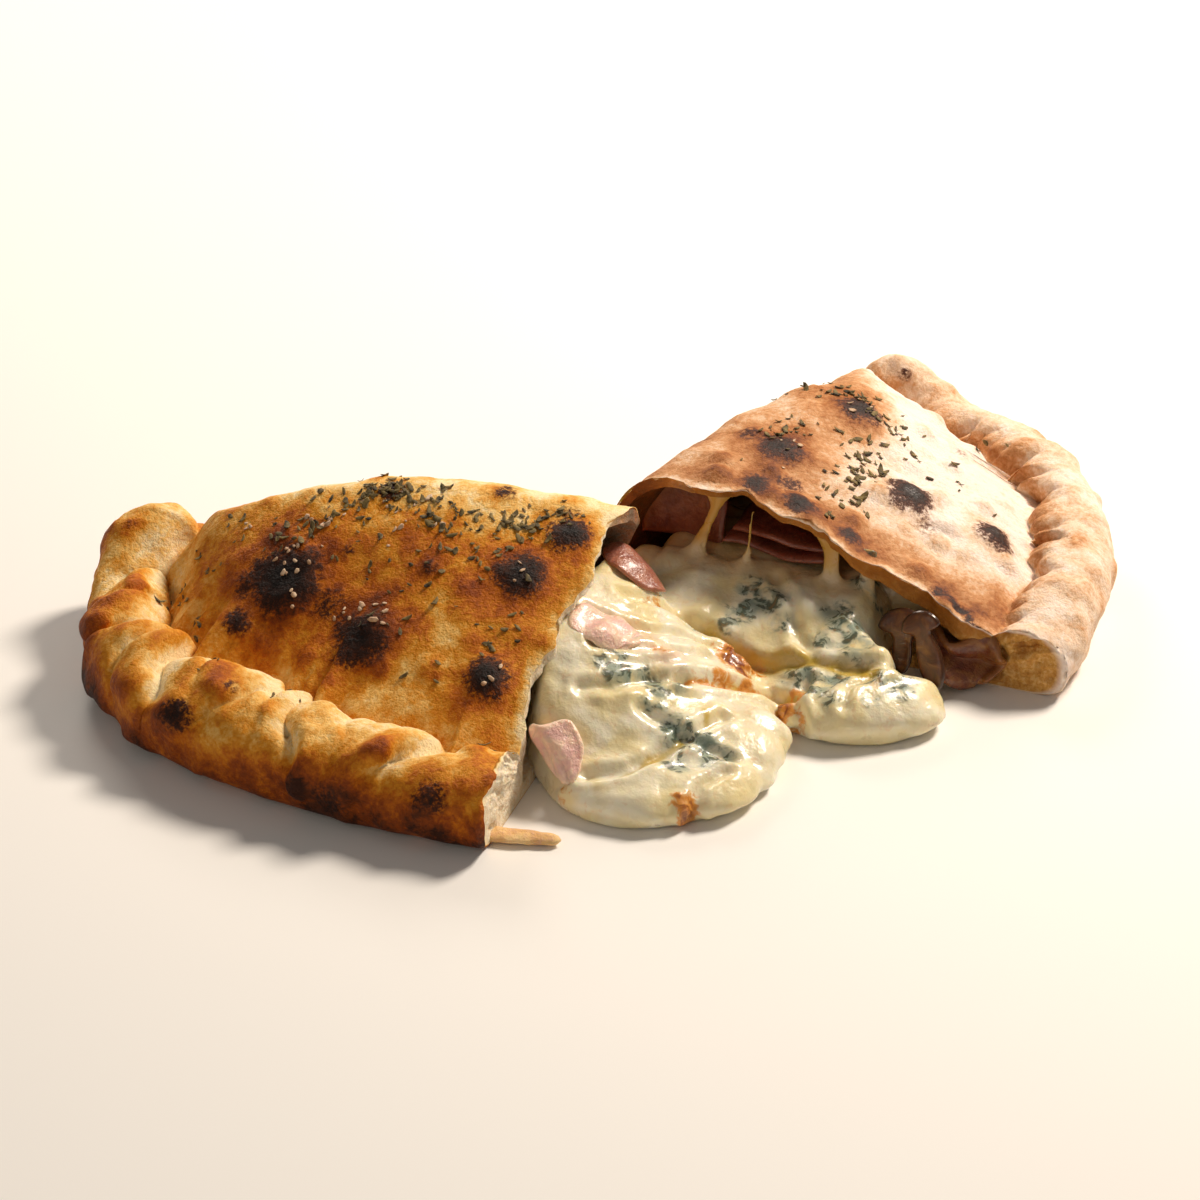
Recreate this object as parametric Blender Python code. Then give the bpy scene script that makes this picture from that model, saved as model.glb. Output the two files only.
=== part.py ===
"""A baked calzone torn across the middle. Its two halves are swung apart, and melted cheese, ham and
mushrooms fill them and lie in the gap between. Metres, +Z up, resting on z = 0."""

import math

import bmesh
import bpy
import numpy as np

MM = 0.001
GAP = 0.5 * MM  # kept between neighbouring solids

# Driving sizes of each half. A half has its own plan frame: "along" runs down the torn face from the
# folded edge to the rim, and "into" runs from the torn face into the half.
LEFT = {
    "corner": (8.76 * MM, -2.56 * MM),  # folded edge meets torn face
    "heading": -109.9,  # degrees, the direction of "along"
    "turn": -1,  # the side of "along" that the half lies on
    "reach": 134.5 * MM,  # folded edge to rim, along the torn face
    "depth": 164 * MM,  # torn face to the far end of the rim
    "tip": 43 * MM,  # along, where the rim ends
    "rope": 15 * MM,  # half the width of the rolled rim
    "rope_rise": 13.5 * MM,  # half its height
    "tip_rise": 4.5 * MM,  # added to that at the rim's end
    "ridge": 20 * MM,  # folded edge to the highest line
    "torn_height": 53 * MM,
    "swell": 7 * MM,  # added halfway to the tip
    "tip_height": 31 * MM,
    "crease": 15.5 * MM,  # height of the valley inside the rim
    "fall": 1.4,  # how the dome falls from ridge to crease
    "fill": 60 * MM,  # level of the filling, or the roof where that is lower
    "bow": 5 * MM,  # how far the folded edge bows out
    "power": 3.0,  # of the superellipse that the rim follows
    "crimps": (30, 46, 64, 89, 119, 136, 152, 178),  # mm along the rim to each pinched fold
    "thick": 88 * MM,  # along the rim to where it is widest
}
RIGHT = {
    "corner": (-0.84 * MM, 13.34 * MM),
    "heading": -22.0,
    "turn": 1,
    "reach": 154 * MM,
    "depth": 147 * MM,
    "tip": 60 * MM,
    "rope": 13.5 * MM,
    "rope_rise": 13 * MM,
    "tip_rise": 6 * MM,
    "ridge": 25 * MM,
    "torn_height": 51 * MM,
    "swell": 2 * MM,
    "tip_height": 37 * MM,
    "crease": 21 * MM,
    "fall": 1.6,
    "fill": 25 * MM,
    "bow": 6 * MM,
    "power": 2.8,
    "crimps": (14, 38, 53, 70, 87, 102, 116, 130, 148, 171),
    "thick": 150 * MM,
}

CRUST = 5 * MM  # thickness of the baked dough
FLOOR = 4.5 * MM  # thickness of the bottom crust
CAVITY_END = 0.84  # of the way to the tip
CRIMP_DEPTH = 0.2  # of the rim's half-width
CRIMP_WIDTH = 4 * MM
POOL_EDGE = 13 * MM  # width of the cheese's rounded edge

# Hollows in the cheese where a slice stands: distance and heading from the inner corner, half sizes.
POCKETS = (
    (103 * MM, -106, 15 * MM, 7.0),
    (98 * MM, -25, 19 * MM, 9.5),
)

RIBS = 54
DOME_POINTS = 10
ROPE_POINTS = 8
ROOF_POINTS = 9


def smooth(x, low, high):
    """0 below low, 1 above high, and a cubic ease between."""
    t = np.clip((x - low) / (high - low), 0, 1)
    return t * t * (3 - 2 * t)


def plan_frame(half):
    angle = math.radians(half["heading"])
    along = np.array([math.cos(angle), math.sin(angle)])
    into = half["turn"] * np.array([-along[1], along[0]])
    return np.array(half["corner"]), along, into


def to_world(half, a, b, z):
    """Points from a (along), b (into) and z (up)."""
    corner, along, into = plan_frame(half)
    a, b, z = np.broadcast_arrays(a, b, z)
    plan = corner + a[..., None] * along + b[..., None] * into
    return np.concatenate([plan, z[..., None]], axis=-1)


def rim_curve(half, u):
    """Outer edge of the rim at u from the torn face (0) to the tip (1): a, b and the whole length."""
    tip_angle = math.acos((half["tip"] / half["reach"]) ** (half["power"] / 2))
    angle = tip_angle * np.linspace(0, 1, 2001) ** 1.6
    a = half["reach"] * np.cos(angle) ** (2 / half["power"])
    b = half["depth"] * np.sin(angle) ** (2 / half["power"])
    a = a - 3 * MM * np.exp(-b / (18 * MM))
    run = np.concatenate([[0], np.cumsum(np.hypot(np.diff(a), np.diff(b)))])
    return np.interp(u * run[-1], run, a), np.interp(u * run[-1], run, b), run[-1]


def fold_curve(half, u):
    """Folded edge, from the torn face (u = 0) to just short of the rim's end (u = 1)."""
    a1, b1, _ = rim_curve(half, 1.0)
    length = math.hypot(a1, b1)
    f = u**0.9 * (1 - 2.3 * half["rope"] / length)
    bow = half["bow"] * np.sin(math.pi * f)
    return f * a1 - bow * b1 / length, f * b1 + bow * a1 / length


def rib(half, u):
    """Start, direction and length of the rib at u, from the folded edge to the rim."""
    fold_a, fold_b = fold_curve(half, u)
    rim_a, rim_b, _ = rim_curve(half, u)
    length = math.hypot(rim_a - fold_a, rim_b - fold_b)
    return (fold_a, fold_b), ((rim_a - fold_a) / length, (rim_b - fold_b) / length), length


def ridge_height(half, u):
    swell = half["swell"] * math.sin(math.pi * min(u / 0.9, 1))
    return half["torn_height"] + swell + (half["tip_height"] - half["torn_height"]) * u**2.2


def rope_size(half, u):
    """Half-width and half-height of the rim, the crease's height and angle, and the span inside it."""
    length, run = rib(half, u)[2], u * rim_curve(half, 1.0)[2]
    rope = half["rope"] + 2.5 * MM * math.exp(-(((run - half["thick"]) / (25 * MM)) ** 2))
    tip = float(smooth(u, 0.86, 1))
    rise = half["rope_rise"] - 2.5 * MM * float(1 - smooth(u, 0, 0.2)) + half["tip_rise"] * tip
    crease = half["crease"] + 10 * MM * tip
    start = math.asin((crease - rise) / rise)
    return rope, rise, crease, start, length - rope * (1 + math.cos(start))


def dome(half, x, span, height, crease):
    """Height over a rib: a quarter superellipse up to the ridge, then a power curve down."""
    ridge = min(half["ridge"], 0.45 * span)
    wall = height * (1 - (1 - np.clip(x / ridge, 0, 1)) ** 2.8) ** (1 / 2.8)
    slope = crease + (height - crease) * (1 - np.clip((x - ridge) / (span - ridge), 0, 1) ** half["fall"])
    return np.where(x < ridge, wall, slope)


def crimp(half, u, angle):
    """Share of the rim's size left at u and at an angle round it: pinched folds that run aslant."""
    run = u * rim_curve(half, 1.0)[2]
    fade = np.sin(np.clip((math.pi - angle) / (1.5 * math.pi), 0, 1) * math.pi) ** 0.5
    size = np.ones_like(angle)
    for i, middle in enumerate(half["crimps"]):
        slant = 6 * MM * math.sin(2.3 * i + 1) * (angle - 1)
        size -= CRIMP_DEPTH * fade * np.exp(-(((run - middle * MM + slant) / CRIMP_WIDTH) ** 2))
    return size


def rounded(value, power):
    """Signed power that squares off a circle's sine or cosine."""
    return np.sign(value) * np.abs(value) ** (2 / power)


def crust_section(half, u):
    """Closed outline at u, as x along the rib and z: dome, rolled rim, flat underside."""
    rope, rise, crease, start, span = rope_size(half, u)
    length = rib(half, u)[2]
    dome_x = span * np.linspace(0, 1, DOME_POINTS + 1)[:-1] ** 1.4
    dome_z = dome(half, dome_x, span, ridge_height(half, u), crease)
    angle = np.linspace(math.pi - start, -math.pi / 2, ROPE_POINTS)
    power = np.where(angle < 0, 3.2, 2.0)
    size = crimp(half, u, angle)
    rope_x = length - rope + rope * size * rounded(np.cos(angle), power)
    rope_z = rise * (1 + size * rounded(np.sin(angle), power))
    rope_z[-1] = 0
    under_x = (length - rope) * np.array([0.66, 0.33])
    x = np.concatenate([dome_x, rope_x, under_x])
    z = np.concatenate([dome_z, rope_z, np.zeros(2)])
    return x, z


def cavity_section(half, u, inset, level):
    """Closed outline of the hollow at u, inset by a clearance and no higher than level."""
    _, _, crease, _, span = rope_size(half, u)
    wall = CRUST + inset
    room = span - 2 * wall
    t = np.append(np.linspace(0, 1, ROOF_POINTS - 1) ** 1.2, 1.0)
    less = CRUST + FLOOR + 2 * inset
    roof = FLOOR + inset + dome(half, room * t, room, ridge_height(half, u) - less, crease - less)
    roof[-1] = FLOOR + inset
    x = np.concatenate([wall + room * t, wall + room * np.array([0.66, 0.33])])
    z = np.concatenate([np.minimum(roof, level - 0.02 * room * t), np.full(2, FLOOR + inset)])
    return x, z


def place(half, u, x, z, shift=0.0):
    """Section points in the part's frame. The torn lips of the upper crust wander."""
    (fold_a, fold_b), (da, db), _ = rib(half, u)
    a = fold_a + x * da
    ragged = 1.2 * MM * (1 + np.sin(a / (5 * MM))) * (z > 15 * MM)
    return to_world(half, a, fold_b + x * db + ragged * (1 - smooth(u, 0, 0.08)) + shift, z)


def rounded_end(loop, push, steps):
    """Loops that carry on from the last one, shrinking along an ellipse, and one end point."""
    centre = loop.mean(axis=0)
    rings = []
    for step in range(1, steps):
        t = 0.5 * math.pi * step / steps
        rings.append(centre + (loop - centre) * math.cos(t) + push * math.sin(t))
    return rings, centre + push


def add_skin(bm, loops, tip):
    """Quads between successive closed loops, and triangles to the tip. Returns the first loop's edges."""
    rings = [[bm.verts.new(point) for point in loop] for loop in loops]
    count = len(rings[0])
    for ring, following in zip(rings, rings[1:]):
        for i in range(count):
            j = (i + 1) % count
            bm.faces.new((ring[i], ring[j], following[j], following[i]))
    end = bm.verts.new(tip)
    for i in range(count):
        bm.faces.new((rings[-1][i], rings[-1][(i + 1) % count], end))
    return [bm.edges.get((rings[0][i], rings[0][(i + 1) % count])) for i in range(count)]


def to_object(bm, name, material):
    bmesh.ops.remove_doubles(bm, verts=bm.verts, dist=0.01 * MM)
    bmesh.ops.recalc_face_normals(bm, faces=bm.faces)
    mesh = bpy.data.meshes.new(name)
    bm.to_mesh(mesh)
    bm.free()
    mesh.shade_smooth()
    obj = bpy.data.objects.new(name, mesh)
    bpy.context.collection.objects.link(obj)
    if material:
        mesh.materials.append(material)
    return obj


def crust_loops(half):
    stations = np.linspace(0, 1, RIBS) ** 0.9
    loops = [place(half, u, *crust_section(half, u)) for u in stations]
    last = loops[-1]
    push = last.mean(axis=0) - loops[-2].mean(axis=0)
    push = push / np.linalg.norm(push) * 0.75 * half["rope"]
    push[2] = 0
    ends, tip = rounded_end(last, push, 4)
    return loops + ends, tip


def cavity_loops(half, inset=0.0, level=1.0, start=None):
    """Loops of the hollow, or with an inset of the filling. start moves the first loop out of the mouth."""
    stations = np.linspace(0, CAVITY_END, 24) ** 0.95
    loops = [place(half, u, *cavity_section(half, u, inset, level)) for u in stations]
    if start is not None:
        loops.insert(0, place(half, 0.0, *cavity_section(half, 0.0, inset, level), shift=start))
    push = (loops[-1].mean(axis=0) - loops[-2].mean(axis=0)) * (0.8 if inset == 0 else 0.5)
    push[2] = 0
    ends, tip = rounded_end(loops[-1], push, 3)
    return loops + ends, tip


def build_crust(name, half, material):
    """Outer skin and hollow, joined across the torn face."""
    bm = bmesh.new()
    outer = add_skin(bm, *crust_loops(half))
    inner = add_skin(bm, *cavity_loops(half))
    bmesh.ops.bridge_loops(bm, edges=outer + inner)
    bmesh.ops.triangulate(bm, faces=[face for face in bm.faces if len(face.verts) > 4])
    return to_object(bm, name, material)


def mouth_corner():
    """Where the two torn faces would meet in plan, GAP in front of both."""
    left, along_left, into_left = plan_frame(LEFT)
    right, along_right, into_right = plan_frame(RIGHT)
    start, other = left - GAP * into_left, right - GAP * into_right
    steps = np.linalg.solve(np.array([along_left, -along_right]).T, other - start)
    return start + steps[0] * along_left


def pool_reach(degrees):
    """How far the cheese runs out, by heading: two round lobes with a notch between."""
    near = 123 - np.where(degrees > -93, 0.040, 0.075) * (degrees + 93) ** 2
    far = 109 - np.where(degrees > -42, 0.010, 0.085) * (degrees + 42) ** 2
    return MM * 3 * np.log(np.exp(near / 3) + np.exp(far / 3))


def pool_height(degrees, distance):
    """Top of the cheese between the halves: high at each torn face, low in the seam between."""
    s = (degrees - LEFT["heading"]) / (RIGHT["heading"] - LEFT["heading"])
    a = distance - 11 * MM
    roof = dome(LEFT, a, 98 * MM, LEFT["torn_height"] - 8 * MM, 11 * MM)
    left = np.maximum(20 * MM + (roof - 20 * MM) * smooth(a, -4 * MM, 14 * MM), 11 * MM)
    right = 25 * MM - 8 * MM * smooth(distance, 88 * MM, 112 * MM)
    seam = 7 * MM + 14 * MM * (1 - smooth(distance, 20 * MM, 75 * MM))
    low = 0.31 + 0.29 * smooth(distance, 20 * MM, 55 * MM)
    toward_left = np.clip(s / low, 0, 1) ** 1.2
    toward_right = np.clip((1 - s) / (1 - low), 0, 1) ** 1.8
    height = np.where(s < low, left + (seam - left) * toward_left, right + (seam - right) * toward_right)
    edge = np.clip((pool_reach(degrees) - distance) / POOL_EDGE, 0, 1)
    top = height * np.sqrt(1 - (1 - edge) ** 2)
    for middle, heading, reach, width in POCKETS:
        apart = np.hypot((distance - middle) / reach, (degrees - heading) / width)
        top = top * (0.12 + 0.88 * smooth(apart, 0.7, 1.3))
    return np.maximum(top, 0.8 * MM)


def build_pool(name, material, columns=26, rows=19):
    """Closed fan of cheese on the floor, between the two torn faces."""
    corner = mouth_corner()
    heading = np.linspace(LEFT["heading"], RIGHT["heading"], columns)
    share = 1 - (1 - np.linspace(0, 1, rows)) ** 1.4
    degrees, t = np.meshgrid(heading, share, indexing="ij")
    distance = 6 * MM + t * (pool_reach(degrees) - 6 * MM)
    angle = np.radians(degrees)
    x = corner[0] + distance * np.cos(angle)
    y = corner[1] + distance * np.sin(angle)
    top = np.stack([x, y, pool_height(degrees, distance)], axis=-1)
    base = top * np.array([1, 1, 0])
    bm = bmesh.new()
    upper = [[bm.verts.new(point) for point in line] for line in top]
    lower = [[bm.verts.new(point) for point in line] for line in base]
    for i in range(columns - 1):
        for j in range(rows - 1):
            bm.faces.new((upper[i][j], upper[i + 1][j], upper[i + 1][j + 1], upper[i][j + 1]))
    border = [(i, 0) for i in range(columns)] + [(columns - 1, j) for j in range(1, rows)]
    border += [(i, rows - 1) for i in range(columns - 2, -1, -1)] + [(0, j) for j in range(rows - 2, 0, -1)]
    for (i, j), (k, m) in zip(border, border[1:] + border[:1]):
        bm.faces.new((upper[i][j], lower[i][j], lower[k][m], upper[k][m]))
    bm.faces.new([lower[i][j] for i, j in border])
    return to_object(bm, name, material)


def height_at(half, a, b):
    """Top of the cheese between the halves at a point in one half's plan frame."""
    x, y = np.moveaxis(to_world(half, a, b, 0)[..., :2] - mouth_corner(), -1, 0)
    return pool_height(np.degrees(np.arctan2(y, x)), np.hypot(x, y))


def build_fill(name, half):
    """Filling inside a half, clear of its crust all round and reaching out of its mouth."""
    bm = bmesh.new()
    loops, tip = cavity_loops(half, inset=GAP, level=half["fill"], start=-2 * MM)
    mouth = add_skin(bm, loops, tip)
    bmesh.ops.holes_fill(bm, edges=mouth)
    return to_object(bm, name, None)


def build_web(name, a, top, width, lean):
    """Strand of cheese from the right half's filling up to its roof, flared at both ends."""
    bm = bmesh.new()
    turn = np.arange(8) * math.pi / 4
    loops = []
    for t in np.linspace(0, 1, 7):
        flare = 1 + 1.3 * abs(2 * t - 1) ** 3
        across = a + lean * (t - 0.5) + 0.5 * width * flare * np.cos(turn)
        inward = 4.5 * MM + 1.6 * MM * flare * np.sin(turn)
        loops.append(to_world(RIGHT, across, inward, 20 * MM + (top - 20 * MM) * t))
    edges = add_skin(bm, loops, loops[-1].mean(axis=0))
    bmesh.ops.holes_fill(bm, edges=edges)
    return to_object(bm, name, None)


def on_ribs(half, u, x, z):
    """Points at x along the rib at u."""
    (fold_a, fold_b), (da, db), _ = rib(half, u)
    return to_world(half, fold_a + x * da, fold_b + x * db, z)


def slice_row(piece, s, t):
    """One row of a ham slice's middle surface, for an array s and a number t, both from 0 to 1."""
    if piece == "ham_front":
        a = (96 - 4 * s - 8 * t + 2 * np.sin(6.3 * s)) * MM
        return to_world(LEFT, a, (-3 - 10 * s) * MM, (3.5 + (20 - 3 * s) * t) * MM)
    if piece == "ham_back":
        a, b = (36 - 31 * s) * MM, (-3 - 6 * s - 4 * t) * MM
        return to_world(LEFT, a, b, height_at(LEFT, a, b) + (3.4 + 3 * (1 - t)) * MM)
    if piece == "ham_middle":
        a, b = (48 - 25 * s + 9 * (t - 0.5)) * MM, (-3.5 - 25 * s) * MM
        return to_world(LEFT, a, b, height_at(LEFT, a, b) + 2.6 * MM)
    if piece == "ham_curled":
        z = (28 + 11 * np.sin(2.5 * s)) * MM
        return on_ribs(RIGHT, 0.04 + 0.24 * t, (16 + 12.5 * s) * MM, z)
    if piece == "ham_lower":
        return on_ribs(RIGHT, 0.05 + 0.3 * t, (45 + 24 * s) * MM, (27.6 + 0.8 * np.cos(5 * s)) * MM)
    if piece == "ham_upper":
        return on_ribs(RIGHT, 0.06 + 0.24 * t, (47 + 19 * s) * MM, (31.2 + np.cos(5 * s)) * MM)
    a, b = (119 + 10 * s) * MM, (-4 - 5 * t) * MM
    return to_world(RIGHT, a, b, (6 + 5 * (1 - t) + 1.5 * np.sin(6.3 * s)) * MM)


def build_sheet(name, material, thickness=2.4 * MM, columns=8, rows=5):
    """A slice of ham as a thin closed slab."""
    s = np.linspace(0, 1, columns)
    bm = bmesh.new()
    verts = [[bm.verts.new(point) for point in slice_row(name, s, t)] for t in np.linspace(0, 1, rows)]
    for low, high in zip(verts, verts[1:]):
        for i in range(columns - 1):
            bm.faces.new((low[i], low[i + 1], high[i + 1], high[i]))
    obj = to_object(bm, name, material)
    solidify = obj.modifiers.new("thickness", "SOLIDIFY")
    solidify.thickness = thickness
    solidify.offset = 0
    return obj


def mushroom_outline(cap, stem):
    """Lengthwise slice of a mushroom: domed cap, gills cut back to the stem, rounded foot."""
    dome_angle = np.linspace(0, math.pi, 9)
    foot_angle = np.linspace(math.pi, 2 * math.pi, 5)
    top = np.stack([cap * np.cos(dome_angle), 0.8 * cap * np.sin(dome_angle)], axis=1)
    foot = np.stack([0.34 * cap * np.cos(foot_angle), -stem + 0.2 * cap * np.sin(foot_angle)], axis=1)
    neck_left, neck_right = [-0.30 * cap, -0.16 * cap], [0.30 * cap, -0.16 * cap]
    return np.vstack([top, [neck_left], foot, [neck_right]])


MUSHROOMS = {  # cap radius, stem, place in the right half's frame, roll, lean
    "mushroom_near": (8.5, 10, (105, -9.5, 19), 35, 62),
    "mushroom_far": (7, 7, (118, -14.5, 10), -65, 70),
}


def build_mushroom(name, material):
    """Slice 3 mm thick, standing on edge and leaning back."""
    cap, stem, place_mm, roll, lean = MUSHROOMS[name]
    outline = mushroom_outline(cap * MM, stem * MM)
    roll, lean = math.radians(roll), math.radians(lean)
    u = outline[:, 0] * math.cos(roll) - outline[:, 1] * math.sin(roll)
    v = outline[:, 0] * math.sin(roll) + outline[:, 1] * math.cos(roll)
    a0, b0, z0 = np.array(place_mm) * MM
    loops = []
    for offset in (-1.5 * MM, 1.5 * MM):
        b = b0 + v * math.cos(lean) - offset * math.sin(lean)
        loops.append(to_world(RIGHT, a0 + u, b, z0 + v * math.sin(lean) + offset * math.cos(lean)))
    bm = bmesh.new()
    rings = [[bm.verts.new(point) for point in loop] for loop in loops]
    count = len(outline)
    for i in range(count):
        j = (i + 1) % count
        bm.faces.new((rings[0][i], rings[0][j], rings[1][j], rings[1][i]))
    for ring in rings:
        bm.faces.new(ring)
    return to_object(bm, name, material)


def build_flake():
    """Tongue of the bottom crust, still joined to the left rim and lying on the floor."""
    bm = bmesh.new()
    loops = []
    for t in np.linspace(0, 1, 6):
        b = (5 - 23 * t) * MM
        middle, width = (122 - 4.5 * t) * MM, (3.6 - 1.4 * t) * MM
        a = middle + width * np.array([-1, 0, 1, 1, 0, -1])
        z = np.array([0.3, 0.3, 0.3, 2.4, 3.2, 2.4]) * MM
        loops.append(to_world(LEFT, a, b + 0.8 * MM * math.sin(9 * t), z))
    edges = add_skin(bm, loops, to_world(LEFT, 117 * MM, -19.5 * MM, 1.2 * MM))
    bmesh.ops.holes_fill(bm, edges=edges)
    return to_object(bm, "flake", None)


def make_material(name, colour, roughness):
    material = bpy.data.materials.new(name)
    material.use_nodes = True
    shader = material.node_tree.nodes["Principled BSDF"]
    shader.inputs["Base Color"].default_value = (*colour, 1.0)
    shader.inputs["Roughness"].default_value = roughness
    shader.inputs["Metallic"].default_value = 0.0
    return material


def combine(target, tool, operation):
    """Exact Boolean kept as a modifier. The tool stays in the scene as a guide."""
    modifier = target.modifiers.new(tool.name, "BOOLEAN")
    modifier.operation = operation
    modifier.object = tool
    modifier.use_self = True
    tool.hide_render = True
    tool.display_type = "WIRE"


def main():
    for obj in list(bpy.data.objects):
        bpy.data.objects.remove(obj)

    crust = make_material("baked_crust", (0.56, 0.29, 0.10), 0.75)
    cheese = make_material("melted_cheese", (0.86, 0.78, 0.52), 0.30)
    ham = make_material("cooked_ham", (0.72, 0.33, 0.29), 0.40)
    mushroom = make_material("cooked_mushroom", (0.32, 0.17, 0.09), 0.40)

    left = build_crust("crust_left", LEFT, crust)
    build_crust("crust_right", RIGHT, crust)
    combine(left, build_flake(), "UNION")

    pool = build_pool("cheese", cheese)
    for body in (build_fill("fill_left", LEFT), build_fill("fill_right", RIGHT)):
        combine(pool, body, "UNION")
    combine(pool, build_web("web_near_fold", 36 * MM, 43.6 * MM, 4 * MM, 3 * MM), "UNION")
    combine(pool, build_web("web_middle", 73.5 * MM, 35.0 * MM, 4.5 * MM, -2 * MM), "UNION")

    for name in ("ham_front", "ham_back", "ham_middle", "ham_curled", "ham_lower", "ham_upper", "ham_right"):
        build_sheet(name, ham)
    for name in MUSHROOMS:
        build_mushroom(name, mushroom)


main()
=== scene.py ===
import math
from functools import partial

import bpy
import numpy as np
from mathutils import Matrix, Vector


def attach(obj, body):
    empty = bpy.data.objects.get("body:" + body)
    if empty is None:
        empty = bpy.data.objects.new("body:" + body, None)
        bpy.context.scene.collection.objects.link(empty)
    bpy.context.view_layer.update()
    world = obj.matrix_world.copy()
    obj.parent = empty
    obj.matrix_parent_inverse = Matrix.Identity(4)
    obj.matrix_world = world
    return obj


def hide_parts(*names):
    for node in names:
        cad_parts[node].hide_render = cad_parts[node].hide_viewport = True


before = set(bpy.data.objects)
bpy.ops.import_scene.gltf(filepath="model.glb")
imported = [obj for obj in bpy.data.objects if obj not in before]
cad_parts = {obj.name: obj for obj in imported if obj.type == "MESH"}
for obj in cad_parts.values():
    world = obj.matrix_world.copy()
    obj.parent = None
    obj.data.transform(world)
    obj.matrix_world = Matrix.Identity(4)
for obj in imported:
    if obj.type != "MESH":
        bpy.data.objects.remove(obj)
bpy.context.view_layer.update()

# A baked calzone torn across the middle, its halves swung apart with the filling between them.
# Lengths are in millimetres until skinMesh turns them to metres. Headings are degrees from +X.
mm = 0.001
perMetre = 1000  # noise scale for lumps 1 mm across; divided by their real size in mm


def ease(x, low, high):
    # 0 below low, 1 above high, 3t^2 - 2t^3 between
    t = np.clip((x - low) / (high - low), 0, 1)
    return t * t * (3 - 2 * t)


def hill(distance, width):
    # exp(-(distance / width)^2)
    return np.exp(-((distance / width) ** 2))


def turns(count):
    # that many angles evenly round a circle, the first at 0
    return np.linspace(0, 2 * math.pi, count, endpoint=False)


def hashed(cell, seed):
    # a scrambled whole number for each lattice cell: products of its three indices with primes, mixed
    h = cell[..., 0] * 73856093 ^ cell[..., 1] * 19349663 ^ cell[..., 2] * 83492791 ^ seed * 40503
    h = (h ^ (h >> 13)) & 0xFFFFFFF
    h = h * 1274126177
    return (h ^ (h >> 17)) & 0x7FFFFFFF


def ripple(points, size, seed=0):
    # gradient noise, about -1 to 1: every corner of a lattice of "size" wide cells has a hashed slope,
    # and the heights of the eight slopes round a point are blended with quintic weights
    p = points / size + 7.31 * seed
    cell = np.floor(p).astype(np.int64)
    f = p - cell
    w = f * f * f * (f * (f * 6 - 15) + 10)
    total = np.zeros(points.shape[:-1])
    for corner in np.ndindex(2, 2, 2):
        offset = np.array(corner)
        h = hashed(cell + offset, seed)
        slope = np.stack([(h >> k & 255) / 127.5 - 1 for k in (0, 8, 16)], axis=-1)
        weight = np.prod(np.where(offset == 1, w, 1 - w), axis=-1)
        total += weight * np.sum(slope * (f - offset), axis=-1)
    return 1.4 * total


def ripples(points, size, octaves, seed=0):
    # sum of ripple at size, size/2, size/4 ... each half as strong
    return sum(ripple(points, size / 2**k, seed + k) / 2**k for k in range(octaves))


def shaken(points, size, seed):
    # three ripples side by side, to push points about in x, y and z
    return np.stack([ripple(points, size, seed + k) for k in range(3)], axis=-1)


def pores(points, size, seed=0):
    # distance to the nearest of one hashed point in each lattice cell, in cell widths
    p = points / size
    cell = np.floor(p).astype(np.int64)
    nearest = np.full(points.shape[:-1], 9.0)
    for corner in np.ndindex(3, 3, 3):
        c = cell + np.array(corner) - 1
        h = hashed(c, seed)
        spot = c + np.stack([(h >> k & 255) / 255 for k in (0, 8, 16)], axis=-1)
        nearest = np.minimum(nearest, np.linalg.norm(spot - p, axis=-1))
    return nearest


def nearLine(x, y, line):
    # shortest distance in plan from each point to a line through the given points
    nearest = np.full(np.shape(x), 1e9)
    for (x0, y0), (x1, y1) in zip(line, line[1:]):
        dx, dy = x1 - x0, y1 - y0
        t = np.clip(((x - x0) * dx + (y - y0) * dy) / (dx**2 + dy**2), 0, 1)
        nearest = np.minimum(nearest, np.hypot(x - x0 - t * dx, y - y0 - t * dy))
    return nearest


def gridNormals(rows):
    # cross product of the steps along the rows and round the rings, made one long
    along = np.gradient(rows, axis=0)
    around = np.roll(rows, -1, axis=1) - np.roll(rows, 1, axis=1)
    normal = np.cross(along, around)
    return normal / np.maximum(np.linalg.norm(normal, axis=-1, keepdims=True), 1e-9)


def outward(points, faces):
    # turns every face round if the volume they enclose comes out negative
    volume = 0.0
    for group in faces:
        for k in range(1, group.shape[1] - 1):
            a, b, c = points[group[:, 0]], points[group[:, k]], points[group[:, k + 1]]
            volume += np.sum(a * np.cross(b, c))
    return faces if volume > 0 else [group[:, ::-1] for group in faces]


def closedSkin(rows):
    # rings of equal count joined ring to ring, and a fan from each end ring to its own middle
    ringCount, count = rows.shape[:2]
    points = np.vstack([rows.reshape(-1, 3), rows[0].mean(axis=0), rows[-1].mean(axis=0)])
    j = np.arange(count)
    k = (j + 1) % count
    start = np.arange(ringCount - 1)[:, None] * count
    quads = np.stack([start + j, start + k, start + count + k, start + count + j], axis=-1)
    last, pole = (ringCount - 1) * count, ringCount * count
    firstFan = np.stack([k, j, 0 * j + pole], axis=1)
    lastFan = np.stack([last + j, last + k, 0 * j + pole + 1], axis=1)
    return points, outward(points, [quads.reshape(-1, 4), np.vstack([firstFan, lastFan])])


def slabSkin(top, bottom):
    # two grids of one shape, one above the other, stitched along their four borders
    n, m = top.shape[:2]
    points = np.vstack([top.reshape(-1, 3), bottom.reshape(-1, 3)])
    index = np.arange(n * m).reshape(n, m)
    upper = np.stack([index[:-1, :-1], index[1:, :-1], index[1:, 1:], index[:-1, 1:]], axis=-1)
    upper = upper.reshape(-1, 4)
    border = np.concatenate([index[0, :-1], index[:-1, -1], index[-1, :0:-1], index[:0:-1, 0]])
    after = np.roll(border, -1)
    sides = np.stack([border, after, after + n * m, border + n * m], axis=-1)
    return points, outward(points, [np.vstack([upper, upper[:, ::-1] + n * m, sides])])


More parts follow.
